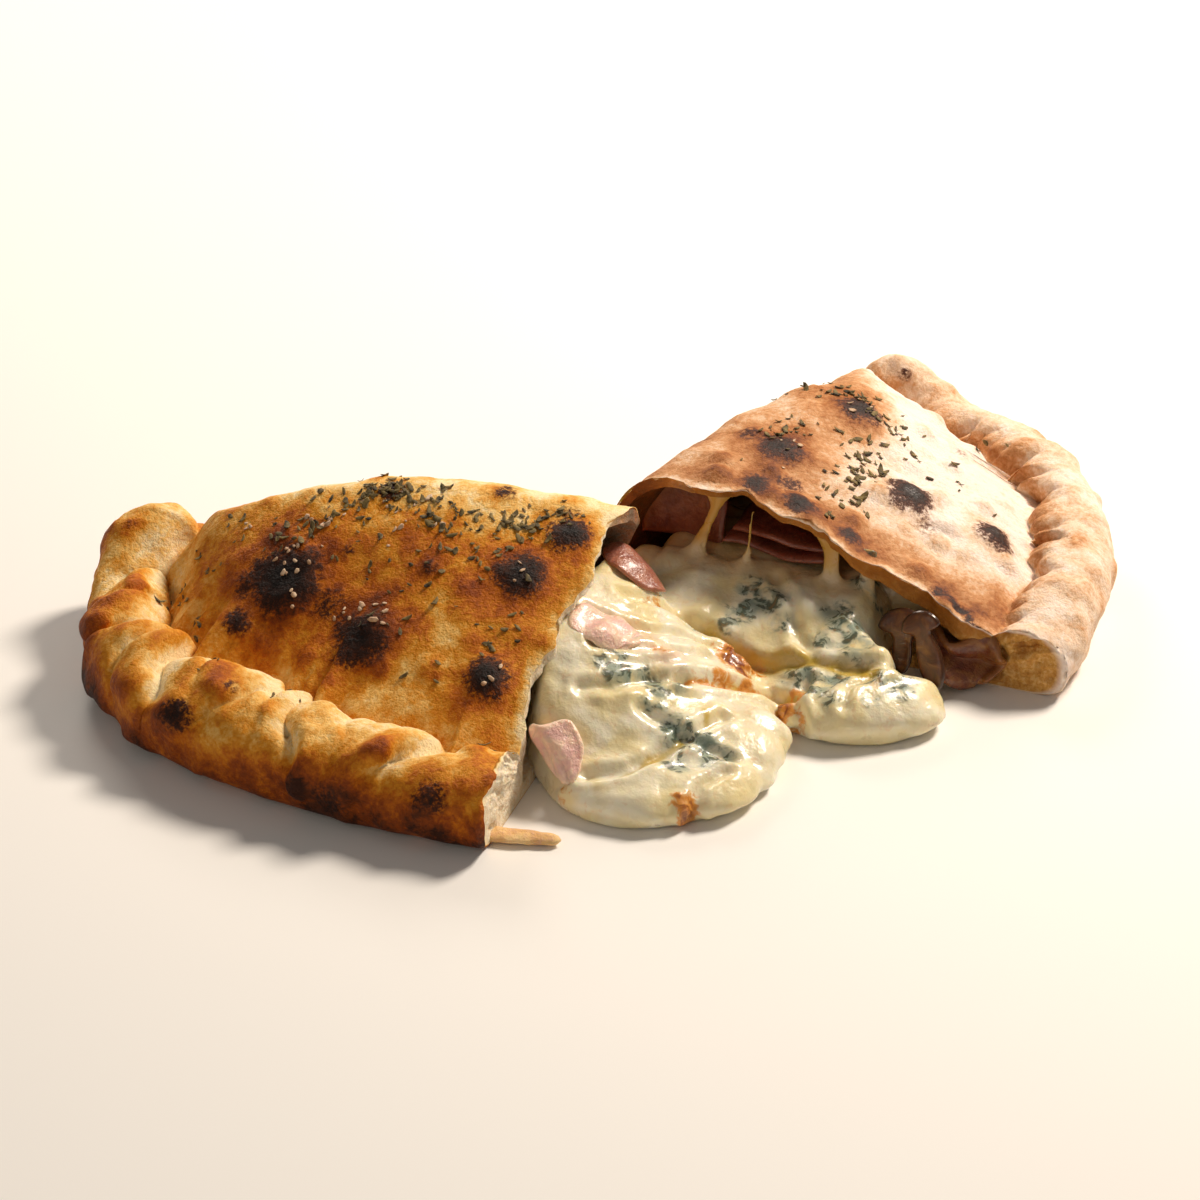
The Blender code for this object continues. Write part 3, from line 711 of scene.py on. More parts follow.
def innerRows(half, u, counts):
    # the hollow, matched point for point with the outside: roof, rim-side wall, floor
    s, _ = halfSizes(half, u)
    start = np.arcsin((s["crease"] - s["rise"]) / s["rise"])
    span = s["length"] - s["rope"] * (1 + np.cos(start))
    room = span - 2 * crustWall
    ridge = np.minimum(half["ridge"], 0.45 * room)
    less = crustWall + crustFloor
    x, z = domeLine(s["height"] - less, s["crease"] - less, ridge, room, half["fall"], counts)
    drop = np.linspace(1, 0, counts["rope"])[None, :]
    under = np.linspace(1, 0, counts["under"] + 2)[None, 1:-1]
    x = np.hstack([x[:, :-1], room + 0 * drop, room * under]) + crustWall
    z = np.hstack([z[:, :-1], z[:, -1:] * drop, 0 * under * room]) + crustFloor
    thin = np.interp(s["foldA"] + x * s["dirA"], *np.array(half["lipThin"], float).T)
    thin = thin * (1 - ease(s["run"], 0, 16)) * ease(z, 8, 16)
    wallward = 1 - ease(x, 4, 30)
    return alongRibs(half, s, u, x - thin * wallward, z + thin * (1 - 0.6 * wallward))


def closingRings(ring, push, count):
    # the last ring shrinks with the cosine and moves on with the sine of an angle from 0 to 90 degrees
    t = 0.5 * math.pi * np.arange(1, count + 1)[:, None, None] / (count + 0.35)
    centre = ring.mean(axis=0)
    return centre + (ring - centre) * np.cos(t) + push * np.sin(t)


def level(push, length):
    # the push without its upward part, made that long
    push = push * np.array([1, 1, 0])
    return push / np.linalg.norm(push) * length


def buildCrust(half, counts, material):
    # One closed skin: rings over the tip, the outside back to the tear, across it, and the hollow.
    # Each point then moves along its normal by waves, blisters, bubbles, char lifts and crumb pits.
    u = (1 - np.linspace(0, 1, counts["stations"])) ** 1.12
    outer, turned, share, run, total = outerRows(half, u, counts)
    inner = innerRows(half, cavityEnd * np.linspace(0, 1, counts["inner"]) ** 1.4, counts)
    s = np.linspace(0, 1, counts["torn"] + 2)[1:-1, None, None]
    torn = outer[-1] * (1 - s) + inner[0] * s
    tipPush = level(outer[0].mean(0) - outer[1].mean(0), 0.75 * half["rope"])
    tip = closingRings(outer[0], tipPush, counts["end"])
    back = closingRings(inner[-1], level(inner[-1].mean(0) - inner[-2].mean(0), 1), 5)
    rows = np.concatenate([tip[::-1], outer, torn, inner, back])
    tipCount, tornStart = len(tip), len(tip) + len(outer)
    tornEnd = tornStart + len(torn)
    outside, tornShare, inside = (np.zeros(rows.shape[:2]) for _ in range(3))
    outside[:tornStart] = 1
    tornShare[tornStart:tornEnd] = np.sin(math.pi * s[..., 0])
    inside[tornStart:tornEnd] = s[..., 0]
    inside[tornEnd:] = 1

    def whole(values, rest):
        # values of the outer rows, spread over the tip's rings and filled with "rest" elsewhere
        full = np.full(rows.shape[:2], float(rest))
        full[:tipCount] = values[0]
        full[tipCount:tornStart] = values
        return full

    turned, share, run = whole(turned, math.pi), whole(share, 0), whole(run, 0)
    up = rows[..., 2]
    grounded = ease(up, 0.5, 6)
    seed = half["seed"]
    wave = 1.5 * ripple(rows, 40, seed) + 1.0 * ripple(rows, 18, seed + 1)
    wave += 0.3 * ripple(rows, 7, seed + 2)
    wave += 0.16 * ripples(rows, 3.2, 2, seed + 4)
    ropeShare = ease(-turned, -math.pi + 0.2, -math.pi + 0.7)
    wave += (1 - ease(share, 0.02, 0.1)) * (1 - ropeShare) * 1.6 * ripple(rows, 26, seed + 8)
    blister = ease(ripple(rows, 12, seed + 6), -0.1, 0.6)
    lumps = (0.5 + half["lump"] * ropeShare) * (blister - 0.3)
    wave += lumps + 0.5 * ropeShare * ripple(rows, 5.5, seed + 7)
    bubble = 1 - ease(pores(rows, 15, seed + 13), 0.06, 0.42)
    bubble = bubble * ease(ripple(rows, 32, seed + 14), -0.6, 0.1)
    bubble = bubble * (1 - ropeShare) * ease(share, 0.08, 0.2)
    wave += half["bubbles"] * bubble
    if half["crack"]:
        crack = hill(nearLine(rows[..., 0], rows[..., 1], half["crack"]), 1.1)
        crack = crack * (turned > 3.1) * (up > 8)
        wave -= 0.9 * crack

    char, halo, lift = (np.zeros(rows.shape[:2]) for _ in range(3))
    wobble = 0.22 * ripple(rows, 7, seed + 20) + 0.13 * ripple(rows, 2.6, seed + 21)
    for a, b, z, radius, dark, height in half["spots"]:
        away = np.linalg.norm(rows - np.array([a, b, z]), axis=-1) / radius
        char = np.maximum(char, dark * (1 - ease(away + wobble, -0.1, 1.3)))
        halo = np.maximum(halo, min(dark, 1) * (1 - ease(away + 2 * wobble, 0.5, 2.4)))
        lift += height * (1 - ease(away + 0.5 * wobble, 0.2, 1.3))
    thickness = np.linalg.norm(outer[-1] - inner[0], axis=-1)
    pit = 1 - ease(pores(rows, 6.5, seed), 0.15, 0.5)
    pit = pit + 0.4 * (1 - ease(pores(rows, 3, seed + 1), 0.2, 0.5))
    roughness = 0.8 * ripples(rows, 5, 3, seed + 9) - 1.1 * pit
    crumbWave = np.clip(0.12 * thickness, 0.45, half["crumbDepth"]) * roughness
    moved = outside * (wave + lift + 0.25 * ripple(rows, 1.7, seed + 12) * ease(char, 0.2, 0.8))
    moved += tornShare * crumbWave + (1 - outside) * (1 - tornShare) * 0.4 * ripple(rows, 9, seed + 5)
    normal = gridNormals(rows)
    if normal[tipCount + len(outer) // 2, counts["wall"] + 10, 2] < 0:
        normal = -normal
    placed = rows + normal * (moved * grounded)[..., None]
    placed[..., 2] = np.maximum(placed[..., 2], 0.02)

    low = ropeShare * (1 - ease(turned, -0.7, 1.0))
    patch = half["patches"] * (ripple(rows, 34, seed + 30) + 0.7 * ripple(rows, 13, seed + 31))
    # browning down the dome, with a painted highlight that pales the left half's ridge
    onDome = half["toast"] + np.interp(share, *np.array(half["slopeToastAndPaintedLight"], float).T)
    onDome += half["lipToast"] * (1 - ease(rows[..., 1], 4, 34)) * ease(rows[..., 0], 55, 90)
    # the far side of the dome paled: painted light where the key lamp falls, over paler baking
    onDome -= half["paleLitSide"] * ease(share, 0.34, 0.66) * ease(rows[..., 1], 6, 36)
    lobes = ropeLobes(half, total, run, turned)
    onRim = half["rimToast"] + half["lobeToast"] * (lobes - 1.0)
    # the crease inside the rim: paler dough on the left half, painted shade on the right half
    onRim = onRim + half["creaseToastAndShade"] * ease(turned, *half["creaseFrom"])
    # the outer, lower side of the rim is darkened partly by browner baking and partly by painted shade
    onRim += half["undersideToastAndShade"] * low + half["crestToast"] * (blister - 0.35)
    onDome += 0.10 * (blister - 0.4) + 0.2 * bubble
    toast = onDome + (onRim - onDome) * ropeShare
    fromTear = np.full(len(rows), 99.0)
    fromTear[tipCount:tornStart] = np.arange(len(outer))[::-1]
    edgePale = (1 - ease(fromTear, 1, 13))[:, None] * (0.75 + 0.5 * ripple(rows, 5, seed + 35))
    toast = toast - 0.34 * edgePale * (1 - ropeShare)
    toast = np.clip(toast + patch + 0.3 * halo, 0, 1) * outside
    if half["crack"]:
        char = np.maximum(char, 0.75 * crack)
    crumb = ease(inside, 0.02, 0.14)
    # painted shade: the hollow's inside and the torn wall under the folded edge are made dark brown
    # instead of pale crumb
    deep = np.zeros(rows.shape[:2])
    deep[tornEnd:] = ease(np.arange(len(rows) - tornEnd), 2, 12)[:, None]
    wallFaceShade = (1 - ease(rows[..., 0], 14, 32)) * (inside > 0)
    crumb = crumb * (1 - 0.9 * deep) * (1 - 0.8 * wallFaceShade)
    toast = np.maximum(toast, 0.85 * deep) + 0.86 * wallFaceShade * (1 - deep)
    oiled = ease(22 - thickness, 0, 12)[None, :] * ease(up, 12, 20) + 0.8 * pit * tornShare
    glow = np.clip(half["glow"] * oiled, 0, 1)
    marks = {"toast": toast, "char": char * outside, "crumb": crumb, "glow": glow}
    for key, value in marks.items():
        marks[key] = np.append(value.ravel(), [value[0].mean(), value[-1].mean()])
    world = toWorld(half, placed)
    mesh = skinMesh(*closedSkin(world))
    node = "crust_" + half["name"]
    makePiece(node + "Baked", mesh, material, (node,), marks)
    skin = slice(tipCount, tornStart)
    normals = gridNormals(world)[skin]
    if normals[len(outer) // 2, counts["wall"] + 10, 2] < 0:
        normals = -normals
    return {"points": world[skin], "normals": normals, "local": rows[skin]}


def unitRock(rings, around, flat):
    # a small closed lump: rings of a squashed sphere
    phi = np.linspace(-0.5, 0.5, rings + 2)[1:-1, None] * math.pi
    theta = turns(around)[None, :]
    x, y, z = np.cos(phi) * np.cos(theta), np.cos(phi) * np.sin(theta), flat * np.sin(phi) + 0 * theta
    ring = np.stack([x, y, z], axis=-1)
    return closedSkin(ring * (1 + 0.35 * ripple(ring, 0.9, around))[..., None])


def strewn(rng, skin, places, shape, sizes, curl, sink):
    # copies of one closed shape stood on picked points of a skin: centre + size * (turned shape), the
    # shape bent by curl * x^2, each with its own turn, stretch and tilt
    points, normals, local = (skin[key].reshape(-1, 3) for key in ("points", "normals", "local"))
    chosen = []
    for a, b, z, radius, count in places:
        away = np.linalg.norm(local - np.array([a, b, z]), axis=-1)
        weight = hill(away, radius) * (normals[:, 2] > 0.15)
        chosen.append(rng.choice(len(points), count, p=weight / weight.sum()))
    chosen = np.concatenate(chosen)
    base, faces = shape
    smallest, largest, proportions, raised = sizes
    count, corners = len(chosen), len(base)
    up = normals[chosen] + rng.normal(0, 0.2, (count, 3))
    up /= np.linalg.norm(up, axis=1, keepdims=True)
    side = np.cross(up, rng.normal(0, 1, (count, 3)))
    side /= np.linalg.norm(side, axis=1, keepdims=True)
    third = np.cross(up, side)
    size = np.exp(rng.uniform(np.log(smallest), np.log(largest), (count, 1, 1)))
    stretch = np.array(proportions) * rng.uniform(0.75, 1.3, (count, 1, 3))
    form = base[None] * stretch
    bent = form[..., 2] + curl * rng.uniform(0.3, 1.0, (count, 1)) * form[..., 0] ** 2
    form = np.stack([form[..., 0], form[..., 1], bent], axis=-1) * size
    form = form[..., :1] * side[:, None] + form[..., 1:2] * third[:, None] + form[..., 2:] * up[:, None]
    spots = points[chosen] + normals[chosen] * (raised - sink)
    everything = (spots[:, None] + form).reshape(-1, 3)
    everything[:, 2] = np.maximum(everything[:, 2], 0.1)
    shift = np.arange(count)[:, None, None] * corners
    return everything, [(group[None] + shift).reshape(-1, group.shape[1]) for group in faces]


cheesePool = {
    "voxel": 0.95,  # mm, size of the cells that join the lumps into one skin
    "smoothing": 12,  # rounds that soften the joints
    # lumps: x, y, half sizes, turn in degrees, height
    "mounds": (
        (9, -54, 23, 9, -24, 28.0), (7, -67, 22, 10, -28, 24.0), (3, -80, 18, 10, -30, 18.5),
        (-2, -94, 14, 14, -10, 12.5), (22, -62, 13, 10, -20, 22.0), (12, -98, 22, 16, 8, 12.5),
        (29, -95, 16, 15, 25, 12.0), (37, -79, 15.5, 15, -24, 14.0), (39, -87, 11, 9, -40, 9.5),
        (39, -70, 16, 9, -20, 15.0), (24, -82, 15, 11, 30, 16.0), (77, -57.5, 25, 13, 11, 15.5),
        (90, -56.5, 12, 11, 0, 12.0), (66, -59, 12, 11, 0, 11.5), (64, -43, 17, 10, -22, 16.5),
        (13, 7, 9, 7, 0, 24.5), (30, -8, 13, 9, -30, 25.5), (60, -20, 20, 12, -24, 24.5),
        (38, -43, 8, 4.5, 8, 15.0)),
    # strands that still hang from the right half's lip: path in its frame, widths, depths
    "webs": (
        (((36, 5, 47), (35.5, 4, 41), (33, 3, 34), (31, 1, 27), (30, -1, 20)),
         (6.0, 2.0, 1.9, 3.4, 7.5), (2.5, 1.2, 1.1, 1.8, 3)),
        (((74, 4, 39), (74, 3, 34), (74.5, 2, 28), (75, 0, 20)),
         (6.5, 3.0, 3.0, 6.5), (2.2, 1.2, 1.2, 3)),
        (((86, 4, 37), (86, 3, 31), (86, 1, 22)), (3.4, 2.2, 3.5), (1.4, 1.0, 2)),
        (((48, 3, 43), (47.5, 2.5, 33), (47, 1, 22)), (0.9, 0.7, 1.4), (0.8, 0.6, 1.2))),
    # ridges of flow, left and right: how far out they start, how high they stand
    "flows": ((-52, 1.1), (-40, 1.3)),
    # seams where one flow met the next, as lines in plan: points, width, depth
    "seams": (
        (((6, -35), (15, -30), (25, -27), (35, -33), (44, -40), (60, -45), (79, -50), (95, -46)),
         2.2, 1.9),
        (((22, -66), (30, -62), (41, -56), (50, -53), (57, -57)), 1.9, 2.4),
        (((10, -80), (20, -85), (30, -89), (36, -92)), 1.6, 1.3),
        (((-6, -100), (6, -99), (16, -92), (26, -84), (34, -76)), 1.7, 1.7),
        (((57, -70), (56, -60), (60, -50)), 1.6, 1.5),
        (((-6, -48), (4, -50), (14, -47), (24, -41), (34, -40)), 1.4, 1.5),
        (((-4, -62), (8, -60), (20, -54), (30, -48)), 1.5, 1.3),
        (((-8, -76), (2, -75), (12, -69), (22, -66)), 1.6, 1.3),
        (((24, -112), (27, -104), (34, -98)), 1.6, 1.2),
        (((70, -66), (72, -58), (79, -54)), 1.5, 1.2),
        (((52, -10), (56, -22), (58, -34), (62, -42)), 1.6, 1.1)),
    "veins": (  # x, y, radius, strength
        (2, -68, 6, 0.9), (8, -69, 6, 1.0), (14, -72, 6, 0.9), (19, -70, 4, 0.7), (13, -79, 4.5, 1.0),
        (20, -85, 5.5, 1.0), (28, -88, 5.5, 1.0), (33, -91, 4.5, 0.8), (20, -96, 5, 0.8),
        (28, -94, 4.5, 0.7),
        (45, -17, 7, 1.0), (41, -22, 6, 1.0), (50, -19, 6, 0.9), (38, -28, 4.5, 0.8), (53, -29, 4, 0.6),
        (74, -33, 8, 1.0), (75, -40, 6, 0.9), (70, -27, 5, 0.8), (66, -36, 4.5, 0.7),
        (81, -16, 6, 0.8), (61, -48, 6, 0.9), (69, -51, 7, 1.0), (78, -53, 6, 0.8), (86, -58, 6, 1.0),
        (62, -57, 5, 0.8), (56, -46, 4, 0.6), (78, -64, 3.5, 0.8), (67, -64, 4, 0.6),
        (15, -104, 2.5, 0.3), (26, -33, 3, 0.5), (90, -53, 4, 0.5)),
    "browned": (  # the same, for spots
        (38, -43.5, 7.5, 1.05), (45, -42.5, 3.5, 0.55), (53, -61, 3.8, 0.8), (22, -110, 4.5, 0.8),
        (26, -64, 3, 0.35), (33, -58, 4, 0.6), (42, -55, 3.5, 0.6), (16, -58, 3.5, 0.35),
        (-14, -104, 4, 0.35), (57, -54, 3, 0.5)),
    "caramel": (  # thin browned lines along the seams: points, width, strength
        (((6, -35), (15, -29), (24, -27), (34, -33), (44, -40)), 1.0, 0.42),
        (((24, -65), (32, -61), (42, -55), (50, -53), (57, -56)), 1.1, 0.62),
        (((57, -70), (56, -62), (58, -55)), 1.3, 0.5)),
    "oily": (  # the same, for oil
        (((30, -30), (41, -37), (50, -40), (66, -46), (79, -52)), 3.2, 1.0),
        (((24, -65), (32, -60), (44, -55), (58, -54)), 2.2, 0.8),
        (((4, -101), (14, -94), (22, -88)), 1.6, 0.8),
        (((-8, -104), (0, -106)), 1.8, 0.5),
        (((28, -76), (29, -80)), 1.3, 0.8)),
    "pink": ((-2, -53, 8), (8, -53, 8), (17, -58, 6)),  # ham under the surface: x, y, radius
}
mouthCorner = (12.6, 7.9)  # where the two torn faces would meet in plan


def poolReach(degrees):
    # two round lobes with a notch between
    near = 121 - np.where(degrees > -93, 0.040, 0.075) * (degrees + 93) ** 2
    far = 107 - np.where(degrees > -42, 0, 0.085) * (degrees + 42) ** 2 - 27 * ease(degrees, -42, -30)
    return 3 * np.log(np.exp(near / 3) + np.exp(far / 3))


def domeHeight(half, x, span, height, crease):
    # the dome's own height at x along a section: superellipse to the ridge, power curve to the crease
    ridge = min(half["ridge"], 0.45 * span)
    wall = height * (1 - (1 - np.clip(x / ridge, 0, 1)) ** wallPower) ** (1 / wallPower)
    down = np.clip((x - ridge) / (span - ridge), 0, 1) ** half["fall"]
    return np.where(x < ridge, wall, crease + (height - crease) * (1 - down))


def poolHeight(degrees, distance):
    # high at each torn face, low in the seam between, rounded down to the floor at its edge
    share = (degrees - leftHalf["heading"]) / (rightHalf["heading"] - leftHalf["heading"])
    a = distance - 11
    roof = domeHeight(leftHalf, a, 101.7, leftHalf["tornHeight"], leftHalf["crease"]) - 3.4
    left = 20 + (np.minimum(roof, 37) - 20) * ease(a, -4, 16)
    left = np.maximum(left - 3 * ease(a, 78, 92), 10)
    right = 25 - 8 * ease(distance, 88, 112)
    seam = 6 + 14 * (1 - ease(distance, 20, 75))
    low = 0.31 + 0.29 * ease(distance, 20, 55)
    towardLeft = np.clip(share / low, 0, 1) ** 1.2
    towardRight = np.clip((1 - share) / (1 - low), 0, 1) ** 1.3
    leftSide, rightSide = left + (seam - left) * towardLeft, right + (seam - right) * towardRight
    height = np.where(share < low, leftSide, rightSide)
    edge = np.clip((poolReach(degrees) - distance) / 11, 0, 1)
    return np.maximum(height * np.sqrt(1 - (1 - edge) ** 2), 0.8)


def mound(x, y, half, other, turn, height):
    # flattened ball standing on the floor: widest a third of the way up, so that its foot tucks in
    phi = np.linspace(-0.5, 0.5, 26)[1:-1, None] * math.pi
    theta = turns(56)[None, :]
    middle = 0.34 * height
    z = middle + np.where(phi > 0, height - middle, middle) * np.sin(phi) + 0 * theta
    p, q = half * np.cos(phi) * np.cos(theta), other * np.cos(phi) * np.sin(theta)
    cosine, sine = math.cos(math.radians(turn)), math.sin(math.radians(turn))
    return closedSkin(np.stack([x + p * cosine - q * sine, y + p * sine + q * cosine, z], axis=-1))


def strand(path, widths, depths, side):
    # elliptical tube along a path: widths across "side", depths the other way
    path, side = np.array(path, float), np.array(side, float)
    t = np.linspace(0, 1, len(path))
    fine = np.linspace(0, 1, 26)
    line = np.stack([np.interp(fine, t, path[:, k]) for k in range(3)], axis=-1)
    width, depth = np.interp(fine, t, widths)[:, None], np.interp(fine, t, depths)[:, None]
    step = np.gradient(line, axis=0)
    step /= np.linalg.norm(step, axis=1, keepdims=True)
    across = side - np.sum(side * step, axis=1, keepdims=True) * step
    across /= np.linalg.norm(across, axis=1, keepdims=True)
    other = np.cross(step, across)
    theta = turns(18)
    rows = line[:, None] + (width * np.cos(theta))[..., None] * across[:, None]
    return closedSkin(rows + (depth * np.sin(theta))[..., None] * other[:, None])


def melted(solids, voxel, rounds):
    # one skin round everything: voxel remesh joins the solids, and smoothing rounds the joints
    mesh = skinMesh(*joined(solids))
    helper = bpy.data.objects.new("meltHelper", mesh)
    bpy.context.scene.collection.objects.link(helper)
    remesh = helper.modifiers.new("join", "REMESH")
    remesh.mode = "VOXEL"
    remesh.voxel_size = voxel * mm
    smoothing = helper.modifiers.new("round", "SMOOTH")
    smoothing.factor = 0.5
    smoothing.iterations = rounds
    graph = bpy.context.evaluated_depsgraph_get()
    result = bpy.data.meshes.new_from_object(helper.evaluated_get(graph))
    bpy.data.objects.remove(helper)
    return result


def meshArrays(mesh):
    # a mesh's points in millimetres and their normals, as arrays
    points, normals = np.empty(3 * len(mesh.vertices)), np.empty(3 * len(mesh.vertices))
    mesh.vertices.foreach_get("co", points)
    mesh.vertices.foreach_get("normal", normals)
    return points.reshape(-1, 3) / mm, normals.reshape(-1, 3)


def fanSolid():
    # the body of the pool: heights over a polar grid, and a flat base
    heading = np.linspace(-117, -14, 90)[:, None]
    share = 1 - (1 - np.linspace(0, 1, 70)[None, :]) ** 1.5
    distance = 6 + share * (poolReach(heading) - 6)
    angle = np.radians(heading + 0 * share)
    plan = [mouthCorner[0] + distance * np.cos(angle), mouthCorner[1] + distance * np.sin(angle)]
    top = np.stack(plan + [poolHeight(heading, distance)], axis=-1)
    base = np.stack(plan + [0.3 + 0 * angle], axis=-1)
    return slabSkin(top, base)


def rightShelf():
    # filling that goes on into the right half, level and lumpy
    b = np.linspace(-6, 46, 34)[None, :]
    back = 12 + 16 * ease(b, 8, 40)  # stays inside the folded edge, which leans in with depth
    a = back + (96 - back) * np.linspace(0, 1, 60)[:, None]
    edge = np.minimum(ease(a, 8, 22), 1 - ease(a, 84, 98)) * (1 - ease(b, 34, 50))
    top = inHalf(rightHalf, a, b + 0 * a, 5 + 19.5 * edge)
    base = inHalf(rightHalf, a, b + 0 * a, 4.8)
    return slabSkin(top, base)


def localTo(half, points):
    # how far points lie along a half's torn face and into it
    corner, along, into = planFrame(half)
    plan = points[:, :2] - corner
    return plan @ along, plan @ into


def spotted(spots, x, y, wobble, inner, outer):
    # the strongest of round spots at each point, each falling from inner to outer times its radius
    share = np.zeros(len(x))
    for cx, cy, radius, strength in spots:
        away = np.hypot(x - cx, y - cy) / radius + wobble
        share = np.maximum(share, strength * (1 - ease(away, inner, outer)))
    return share


def lined(lines, x, y, wobble, share):
    # the strongest of soft lines at each point, over what is there already
    for line, width, strength in lines:
        share = np.maximum(share, strength * hill(nearLine(x, y, line) + wobble, width))
    return share


def buildCheese(material):
    # All lumps and strands melted into one skin, moved along its normals by ripples, ridges of flow and
    # seams, and marked for its colours. Gives back the finished points.
    solids = [fanSolid(), rightShelf()] + [mound(*values) for values in cheesePool["mounds"]]
    across = toWorld(rightHalf, np.array([1.0, 0, 0])) - toWorld(rightHalf, np.zeros(3))
    for path, widths, depths in cheesePool["webs"]:
        solids.append(strand(toWorld(rightHalf, np.array(path, float)), widths, depths, across))
    mesh = melted(solids, cheesePool["voxel"], cheesePool["smoothing"])
    points, normals = meshArrays(mesh)
    x, y, z = points.T
    moved = 1.1 * ripple(points, 17, 41) + 0.8 * ripple(points, 8, 42) + 0.22 * ripple(points, 3.8, 43)
    for half, (start, strength) in zip((leftHalf, rightHalf), cheesePool["flows"]):
        a, b = localTo(half, points)
        flow = np.stack([a + 2 * np.sin(b / 9), 0.22 * b, 0 * a], axis=-1)
        ridges = ripple(flow, 7.5, 44) + 0.25 * ripple(flow, 3.2, 45)
        moved += strength * ridges * ease(b, start, start + 14)
    for line, width, depth in cheesePool["seams"]:
        near = nearLine(x, y, line)
        moved -= depth * hill(near, width)
        moved += 0.5 * depth * hill(near - 2.2 * width, width)
    flat = np.stack([x, y, 0 * x], axis=-1)
    brown = spotted(cheesePool["browned"], x, y, 0.25 * ripple(flat, 3, 51), 0.35, 1.2)
    brown = lined(cheesePool["caramel"], x, y, 0.8 * ripple(flat, 4, 56), brown)
    vein = spotted(cheesePool["veins"], x, y, 0.3 * ripple(flat, 6, 52), 0.3, 1.45)
    oil = lined(cheesePool["oily"], x, y, ripple(flat, 5, 53), np.zeros(len(points)))
    pink = np.zeros(len(points))
    for cx, cy, radius in cheesePool["pink"]:
        pink = np.maximum(pink, hill(np.hypot(x - cx, y - cy), radius))
    moved += 0.9 * brown * (0.6 + ripples(points, 2.6, 2, 54)) - 0.25 * vein
    underLip = ease(z, 27, 31) * (localTo(rightHalf, points)[1] > -8)  # the strands stay smooth
    moved *= ease(z, 0.3, 3) * (1 - 0.8 * underLip)
    points = points + normals * moved[:, None]
    for half in (leftHalf, rightHalf):
        a, b = localTo(half, points)
        onCrust = (b > 0.5) & (a > 4) & (a < half["reach"] - 24)
        points[:, 2] = np.maximum(points[:, 2], np.where(onCrust, crustFloor + 0.15, 0.02))
    mesh.vertices.foreach_set("co", (points * mm).ravel())
    mesh.update()
    deep = localTo(rightHalf, points)[1]
    # butterfat yellow, plus painted shade where the cheese goes into the right half and under its lip
    butterAndShade = 0.6 * ease(deep, -16, 3) + 0.22 * hill(np.hypot(x - 41, y + 73), 16)
    butterAndShade = np.clip(butterAndShade + 0.4 * ease(z, 27, 33) * (deep > -8), 0, 1)
    marks = {"brown": brown, "vein": vein, "oil": oil, "pink": pink, "butterAndShade": butterAndShade}
    makePiece("cheesePool", mesh, material, ("cheese",), marks)
    return points


cheeseFill = {
    "counts": {"wall": 8, "slope": 18, "rope": 6, "under": 4},
    "from": 0.07,  # share of the hollow where it starts and ends
    "to": 0.96,
    "size": 0.84,  # of the hollow's own section
    "level": {"left": 42, "right": 22},  # height of its top
}


def buildFill(half, material):
    # plain filling deep inside a half: the hollow's sections drawn to their middles and cut off level
    share = np.linspace(cheeseFill["from"], cheeseFill["to"], 22)
    rows = innerRows(half, cavityEnd * share, cheeseFill["counts"])
    centre = rows.mean(axis=1, keepdims=True)
    rows = centre + (rows - centre) * cheeseFill["size"]
    rows[..., 2] = np.minimum(rows[..., 2], cheeseFill["level"][half["name"]])
    mesh = skinMesh(*closedSkin(toWorld(half, rows)))
    zero = np.zeros(len(mesh.vertices))
    # the hidden filling gets the same darker gold, as painted shade
    marks = {"brown": zero, "vein": zero + 0.2, "oil": zero, "pink": zero, "butterAndShade": zero + 0.6}
    makePiece("cheeseFill_" + half["name"], mesh, material, (), marks)


hamSlices = {
    # draped and hanging slices: four corners as along, into and up in their half's frame
    "hamFront": {"meat": "cookedHam", "thick": 2.2, "frill": 0.9,
                 "corners": ((90, 5.0, 18.0), (86, -12.5, 24.0), (99, -12.0, 7.5), (97, -19.5, 8.8))},
    "hamBack": {"meat": "cookedHamShaded", "thick": 1.8, "frill": 0.9,
                "corners": ((6, 7, 0), (8, -13, 0), (25, 3, 0), (24, -17, 0))},
    "hamMiddle": {"meat": "cookedHam", "thick": 2.2, "frill": 0.9,
                  "corners": ((47, 2, 0), (43, -19, 0), (64, 1, 0), (57, -20, 0))},
    "hamRight": {"meat": "cookedHamBrowned", "thick": 2.4, "frill": 1.8,
                 "corners": ((103, -7, 2.2), (132, -6, 2.5), (104, -2, 18), (131, -1, 17))},
    # slices inside the right half: start and length along and into, and height
    "hamCurled": {"meat": "cookedHamInsideShaded", "thick": 2.4, "frill": 0.5,
                  "along": (9, 27), "into": (9, 5), "up": 24},
    "hamLower": {"meat": "cookedHamInsideShaded", "thick": 2.4, "frill": 0.5,
                 "along": (37, 36), "into": (6, 26), "up": 27.2},
    "hamUpper": {"meat": "cookedHamInsideShaded", "thick": 2.4, "frill": 0.5,
                 "along": (39, 32), "into": (8.5, 22), "up": 30.6},
}


def slicePiece(name, middle, meats):
    # a grid of points shaken by its frill, then half the thickness to both sides along its normals,
    # thinning as sqrt(1 - edge^12) to a rounded edge
    finish = hamSlices[name]
    n, m = middle.shape[:2]
    s, t = np.linspace(-1, 1, n)[:, None], np.linspace(-1, 1, m)[None, :]
    middle = middle + finish["frill"] * shaken(middle, 9, 60)
    normal = np.cross(np.gradient(middle, axis=0), np.gradient(middle, axis=1))
    normal /= np.linalg.norm(normal, axis=-1, keepdims=True)
    edge = np.maximum(np.abs(s), np.abs(t))
    half = 0.5 * finish["thick"] * np.sqrt(np.clip(1 - edge**12, 0.02, 1))[..., None]
    mesh = skinMesh(*slabSkin(middle + normal * half, middle - normal * half))
    edge = np.tile(ease(edge, 0.72, 1.0).ravel(), 2)
    node = "ham_" + name[3:].lower()
    makePiece(name, mesh, meats[finish["meat"]], (node,), {"edge": edge})


